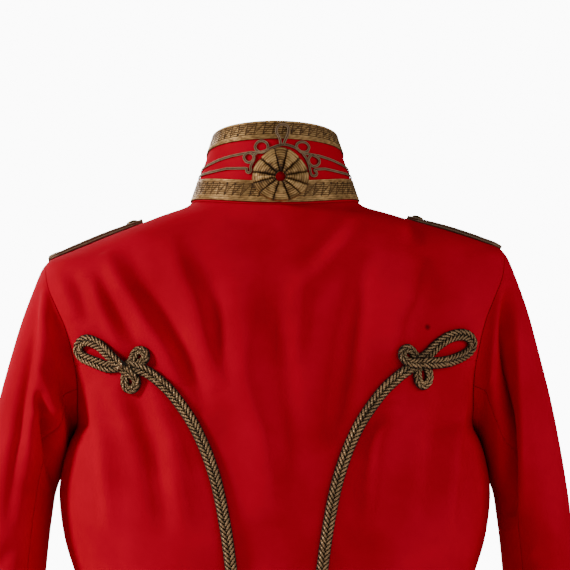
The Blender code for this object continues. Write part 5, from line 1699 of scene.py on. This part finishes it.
@dataclass
class Cords:
    """The knots and cords of the back, and the plaited cords of the shoulders."""

    finishes: Finishes
    cloth: dict[str, bpy.types.Object]
    lift: float = 0.3 * MM
    shoulder_run: tuple[float, float] = (122, 206)  # from and to, sideways, in millimetres
    shoulder_half: tuple[float, float] = (11, 16.5)  # half width at both ends
    shoulder_y: float = -2
    above: float = 0.4  # from the cloth to the shoulder cords
    edge_cord: float = 3.0  # width of the cords along their edges
    spacing: float = 2.2  # of the places where the cloth is felt for, in millimetres
    gimp: Gimp = Gimp()
    shoulder: Plait = Plait(3, 52 * MM, 9.6 * MM, 3.8 * MM, 0.45 * MM)

    def lay(self, ground: Ground, name: str, bends: Sequence[Bend], sign: int, nodes: Sequence[str]) -> None:
        """Lay a plaited cord on the back.

        Args:
            ground: The cloth.
            name: The piece's name.
            bends: Its route.
            sign: 1 for the wearer's left, -1 for the right.
            nodes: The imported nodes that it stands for.
        """
        x, z, level, thick, width = through(bends, self.spacing, slice(2)).T[..., None]
        route = settle(np.hstack([sign * x, 0 * x, z]) * MM)[:, [0, 2]]
        width = width * MM
        ahead = ahead_of(route)
        across = np.stack([ahead[:, 1], -ahead[:, 0]], axis=-1)
        middle, right, left = (ground.drop(*(route + s * across * width / 2).T, True) for s in (0, 1, -1))
        up = unit(np.cross(np.gradient(middle, axis=0), unit(right - left)))
        up *= np.sign(up[:, 1:2])
        rise = np.max([np.sum((p - middle) * up, axis=-1) for p in (middle, right, left)], axis=0)
        even = averaged(np.hstack([up, rise[:, None] + level * MM]))
        up = unit(even[:, :3])
        fine = finer(np.hstack([middle + up * (even[:, 3:] + self.lift), up, thick, width]), 3)
        form = Form()
        self.gimp.lay(form, fine[:, :3], unit(fine[:, 3:6]), fine[:, 7], fine[:, 6])
        form.finish(name, (self.finishes.gimp,), nodes)

    def back(self) -> None:
        """Lay the cords and knots of the back."""
        ground = Ground(list(self.cloth.values()))
        for side in Side:
            word = side.word
            self.lay(ground, f"back_cord_{word}_plait", CORD_ENDS[word] + CORD_RUN, side.value,
                     [f"back_cord_{word}"])
            self.lay(ground, f"knot_{word}_plait", KNOTS[word], side.value,
                     [f"knot_over_{word}", f"knot_under_{word}"])

    def shoulders(self) -> None:
        """Lay the plaited shoulder cords along the shoulder seams."""
        ground = Ground([self.cloth[n] for n in ("back", "front_left", "front_right")])
        for side in Side:
            share = np.linspace(0, 1, 60)
            x = np.interp(share, (0, 1), self.shoulder_run) * side.value * MM
            y = np.full_like(x, self.shoulder_y * MM)
            ends = 0.4 * (1 - smooth(share, 0, 0.12)) + 0.22 * smooth(share, 0.93, 1)
            half = np.interp(share, (0, 1), self.shoulder_half) * (1 - ends) * MM
            front, middle, back = (ground.drop(x, y + s * half, False)[:, 2] for s in (-1, 0, 1))
            path = np.stack([x, y, middle + self.above * MM], 1)
            up = np.cross(ahead_of(path), [0, side.value, 0.0])
            sags = [middle - front, middle - back][::side.value]
            fine = finer(np.hstack([path, unit(up), np.stack([half, *sags], 1)]), 3)
            path, up, half, right, left = np.split(fine, [3, 6, 7, 8], axis=1)
            up = unit(up) * np.sign(up[:, 2:])
            sideways = beside(path, up)
            form = Form()
            edge_cord = self.edge_cord * MM
            self.shoulder.lay(form, path, up, 2 * half[:, 0] - edge_cord, (right[:, 0], left[:, 0]))
            slim = 0.35 + 0.65 * np.sin(np.pi * np.linspace(0, 1, len(fine))) ** 0.3
            for sign, sag in ((1, right), (-1, left)):
                for height in (1.2, 3.4):
                    edge = (path + sideways * (sign * (half - edge_cord / 2))
                            + up * (height * MM * slim[:, None] - sag))
                    form.tube(edge, up, edge_cord * slim, 2.5 * MM * slim)
            form.finish(f"shoulder_cord_{side.word}_plait", (self.finishes.shoulder,),
                        [f"shoulder_cord_{side.word}"])

    def build(self) -> None:
        """Lay every cord."""
        self.back()
        self.shoulders()


@dataclass
class Buttons:
    """Domed buttons with a roped rim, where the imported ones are, and holes worked for those of the front."""

    finishes: Finishes
    segments: int = 72
    swells: int = 36  # of the roped rim
    hole_half: float = 6.5  # half the straight part of a worked hole, in millimetres
    hole_end: float = 1.4  # the round ends beyond it
    hole_shift: float = 4.5  # from the button to the hole's middle
    # Share of radius and of height, from the middle of the top round to the base.
    outline: tuple = ((0.2, 0.985), (0.4, 0.93), (0.58, 0.83), (0.7, 0.71), (0.76, 0.6), (0.79, 0.56),
                      (0.83, 0.62), (0.88, 0.66), (0.94, 0.62), (0.985, 0.5), (1, 0.36), (0.985, 0.18),
                      (0.93, 0.04), (0.8, 0))

    @staticmethod
    def seat(node: str) -> tuple[Array, Array, float, float]:
        """Measure a packed button.

        Args:
            node: Its node.

        Returns:
            Its middle at the base, its axis, its height and its radius.
        """
        points = np.array([vertex.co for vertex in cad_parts[node].data.vertices])
        middle = points.mean(0)
        axis = np.linalg.svd(points - middle)[2][2]
        out = np.array([0, middle[1], 0]) if abs(middle[1]) > 0.04 else np.array([0, 0, 1.0])
        axis = axis * np.sign(axis @ out)
        level = (points - middle) @ axis
        radius = np.linalg.norm(np.cross(points - middle, axis), axis=1).max()
        return middle + axis * level.min(), axis, level.max() - level.min(), radius

    def button(self, node: str) -> tuple[Array, Array]:
        """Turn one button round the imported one's axis: radius and height follow the outline, and its rim has
        small swells.

        Args:
            node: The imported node.

        Returns:
            Its middle at the base, and its axis.
        """
        base, axis, height, radius = self.seat(node)
        side = unit(np.cross(axis, [0.3, 0.2, 0.9]))
        turn = 2 * np.pi * np.arange(self.segments)[:, None] / self.segments
        r, h = np.array(self.outline).T
        rope = 1 + 0.06 * np.exp(-(((r - 0.89) / 0.05) ** 2)) * (h > 0.3) * np.cos(self.swells * turn)
        around = side * np.cos(turn) + np.cross(axis, side) * np.sin(turn)
        points = base + around[:, None] * (r * radius)[:, None] + axis * (h * height * rope)[..., None]
        count = self.segments * len(r)
        index = numbered(self.segments, len(r), True, False)
        faces = quads(index)[:, FLIPPED].tolist()
        faces += [[int(a), int(b), count] for a, b in zip(index[:-1, 0], index[1:, 0])]
        faces += [[int(b), int(a), count + 1] for a, b in zip(index[:-1, -1], index[1:, -1])]
        # Relief for the brass: 0 on the lower part of the button, rising to 1 at its top.
        high = np.clip((h - 0.45) * 1.6, 0, 1)
        form = Form()
        form.add(np.concatenate([points.reshape(-1, 3), [base + axis * height, base]]), faces,
                 np.zeros((count + 2, 2)), np.concatenate([np.tile(high, self.segments), [1, 0]]))
        form.finish(node + "_dome", (self.finishes.brass,), [node])
        return base, axis

    def hole(self, form: Form, middle: Array, axis: Array) -> None:
        """Work one buttonhole: a long ring of silk with round ends, set off to the side of the button.

        Args:
            form: The form that it joins.
            middle: The button's middle at the base.
            axis: The button's axis.
        """
        turn = np.linspace(0, 2 * np.pi, 65)[:-1]
        c = np.cos(turn)
        x = self.hole_half * np.sign(c) * np.minimum(np.abs(c) * 1.4, 1) + self.hole_end * c - self.hole_shift
        z = 1.5 * np.sin(turn)
        across = unit(np.cross([0, 0, 1.0], axis))
        upward = np.cross(axis, across)
        across = across * np.sign(across[0])
        path = middle + (across * (x * MM)[:, None] + upward * (z * MM)[:, None]) - axis * 0.25 * MM
        form.tube(path, np.broadcast_to(axis, path.shape), 1.5 * MM, 0.9 * MM, 6, closed=True)

    def build(self) -> None:
        """Build all the buttons and the worked holes."""
        holes = Form()
        for node in [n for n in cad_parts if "button" in n]:
            middle, axis = self.button(node)
            if node.startswith("front"):
                self.hole(holes, middle, axis)
        holes.finish("front_buttonholes", (self.finishes.silk,))


# ------------------------------------------------------------------ studio
@dataclass(frozen=True)
class Studio:
    """The camera behind the tunic, the pale room and its soft lamps."""

    target: tuple[float, float, float] = (-0.0092, 0.0, -0.0755)
    distance: float = 2.6
    yaw: float = 1.0
    elevation: float = -7.0
    lens: float = 178.0
    floor: float = 2.2  # radius of the floor, in metres
    room_light: float = 0.08  # of the room on the tunic
    room_white: float = 11.0  # of the room as it is seen
    sides: int = 96  # of the floor's edge
    aim: tuple[float, float, float] = (0, 0, -0.2)  # of every lamp

    def camera(self) -> None:
        """Place the camera."""
        yaw, rise = math.radians(self.yaw), math.radians(self.elevation)
        way = Vector((math.sin(yaw) * math.cos(rise), math.cos(yaw) * math.cos(rise), math.sin(rise)))
        data = bpy.data.cameras.new("camera")
        data.lens, data.sensor_width = self.lens, 36
        made = into_scene("camera", data)
        made.location = Vector(self.target) + way * self.distance
        made.rotation_euler = (-way).to_track_quat("-Z", "Y").to_euler()
        bpy.context.scene.camera = made

    def lamp(self, name: str, place: tuple[float, float, float], size: float, power: float,
             colour: tuple[float, float, float]) -> None:
        """Hang one soft lamp that shines on the tunic.

        Args:
            name: Its name.
            place: Where it hangs.
            size: The length of its sides.
            power: Its watts.
            colour: Its colour.
        """
        data = bpy.data.lights.new(name, "AREA")
        data.shape, data.size, data.energy, data.color = "SQUARE", size, power, colour
        made = into_scene(name, data)
        made.location = place
        made.rotation_euler = (Vector(self.aim) - Vector(place)).to_track_quat("-Z", "Y").to_euler()

    def room(self) -> None:
        """Lay the pale floor and light the pale room."""
        floor = bpy.data.meshes.new("floor")
        turns = np.linspace(0, 2 * np.pi, self.sides + 1)[:-1]
        height = np.full(self.sides, HEM * MM - 0.02)
        edge = np.stack([self.floor * np.cos(turns), self.floor * np.sin(turns), height], axis=-1)
        floor.from_pydata(edge, [], [list(range(self.sides))])
        n = Nodes("pale_floor", Roughness=0.9, Base_Color=(0.86, 0.86, 0.87, 1),
                  Emission_Color=(1.0, 1.0, 1.0, 1), Emission_Strength=0.08)
        floor.materials.append(n.material)
        made = into_scene("floor", floor)
        world = bpy.data.worlds.new("pale_room")
        bpy.context.scene.world = world
        world.use_nodes = True
        tree = world.node_tree
        seen = tree.nodes.new("ShaderNodeMapRange")
        seen.inputs["To Min"].default_value = self.room_light
        seen.inputs["To Max"].default_value = self.room_white
        tree.links.new(tree.nodes.new("ShaderNodeLightPath").outputs["Is Camera Ray"], seen.inputs["Value"])
        tree.nodes["Background"].inputs["Color"].default_value = (1.0, 1.0, 1.0, 1)
        tree.links.new(seen.outputs[0], tree.nodes["Background"].inputs["Strength"])

    def build(self) -> None:
        """Set the stage."""
        self.camera()
        self.room()
        self.lamp("key", (3.3, 0.8, 1.3), 0.7, 90, (1.0, 0.98, 0.95))
        self.lamp("fill", (-1.9, 2.5, 0.7), 2.0, 17, (0.97, 0.98, 1.0))
        self.lamp("side", (-2.6, 1.1, 0.4), 1.2, 14, (1.0, 1.0, 1.0))
        self.lamp("front", (1.3, -2.5, 1.2), 1.2, 30, (1.0, 1.0, 1.0))


def main() -> None:
    """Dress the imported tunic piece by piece."""
    logging.basicConfig(level=logging.INFO, format="%(name)s: %(message)s")
    finishes = Finishes.make()
    body_pieces, sleeves = Body(finishes), Sleeves(finishes)
    body_pieces.build()
    sleeves.build()
    Collar(finishes).build()
    for sewn in (*LACES, Rosette()):
        sewn.build(finishes)
    CollarBraid(finishes).build()
    Cords(finishes, {**body_pieces.pieces, **sleeves.pieces}).build()
    Buttons(finishes).build()
    Studio().build()


if __name__ == "__main__":
    main()
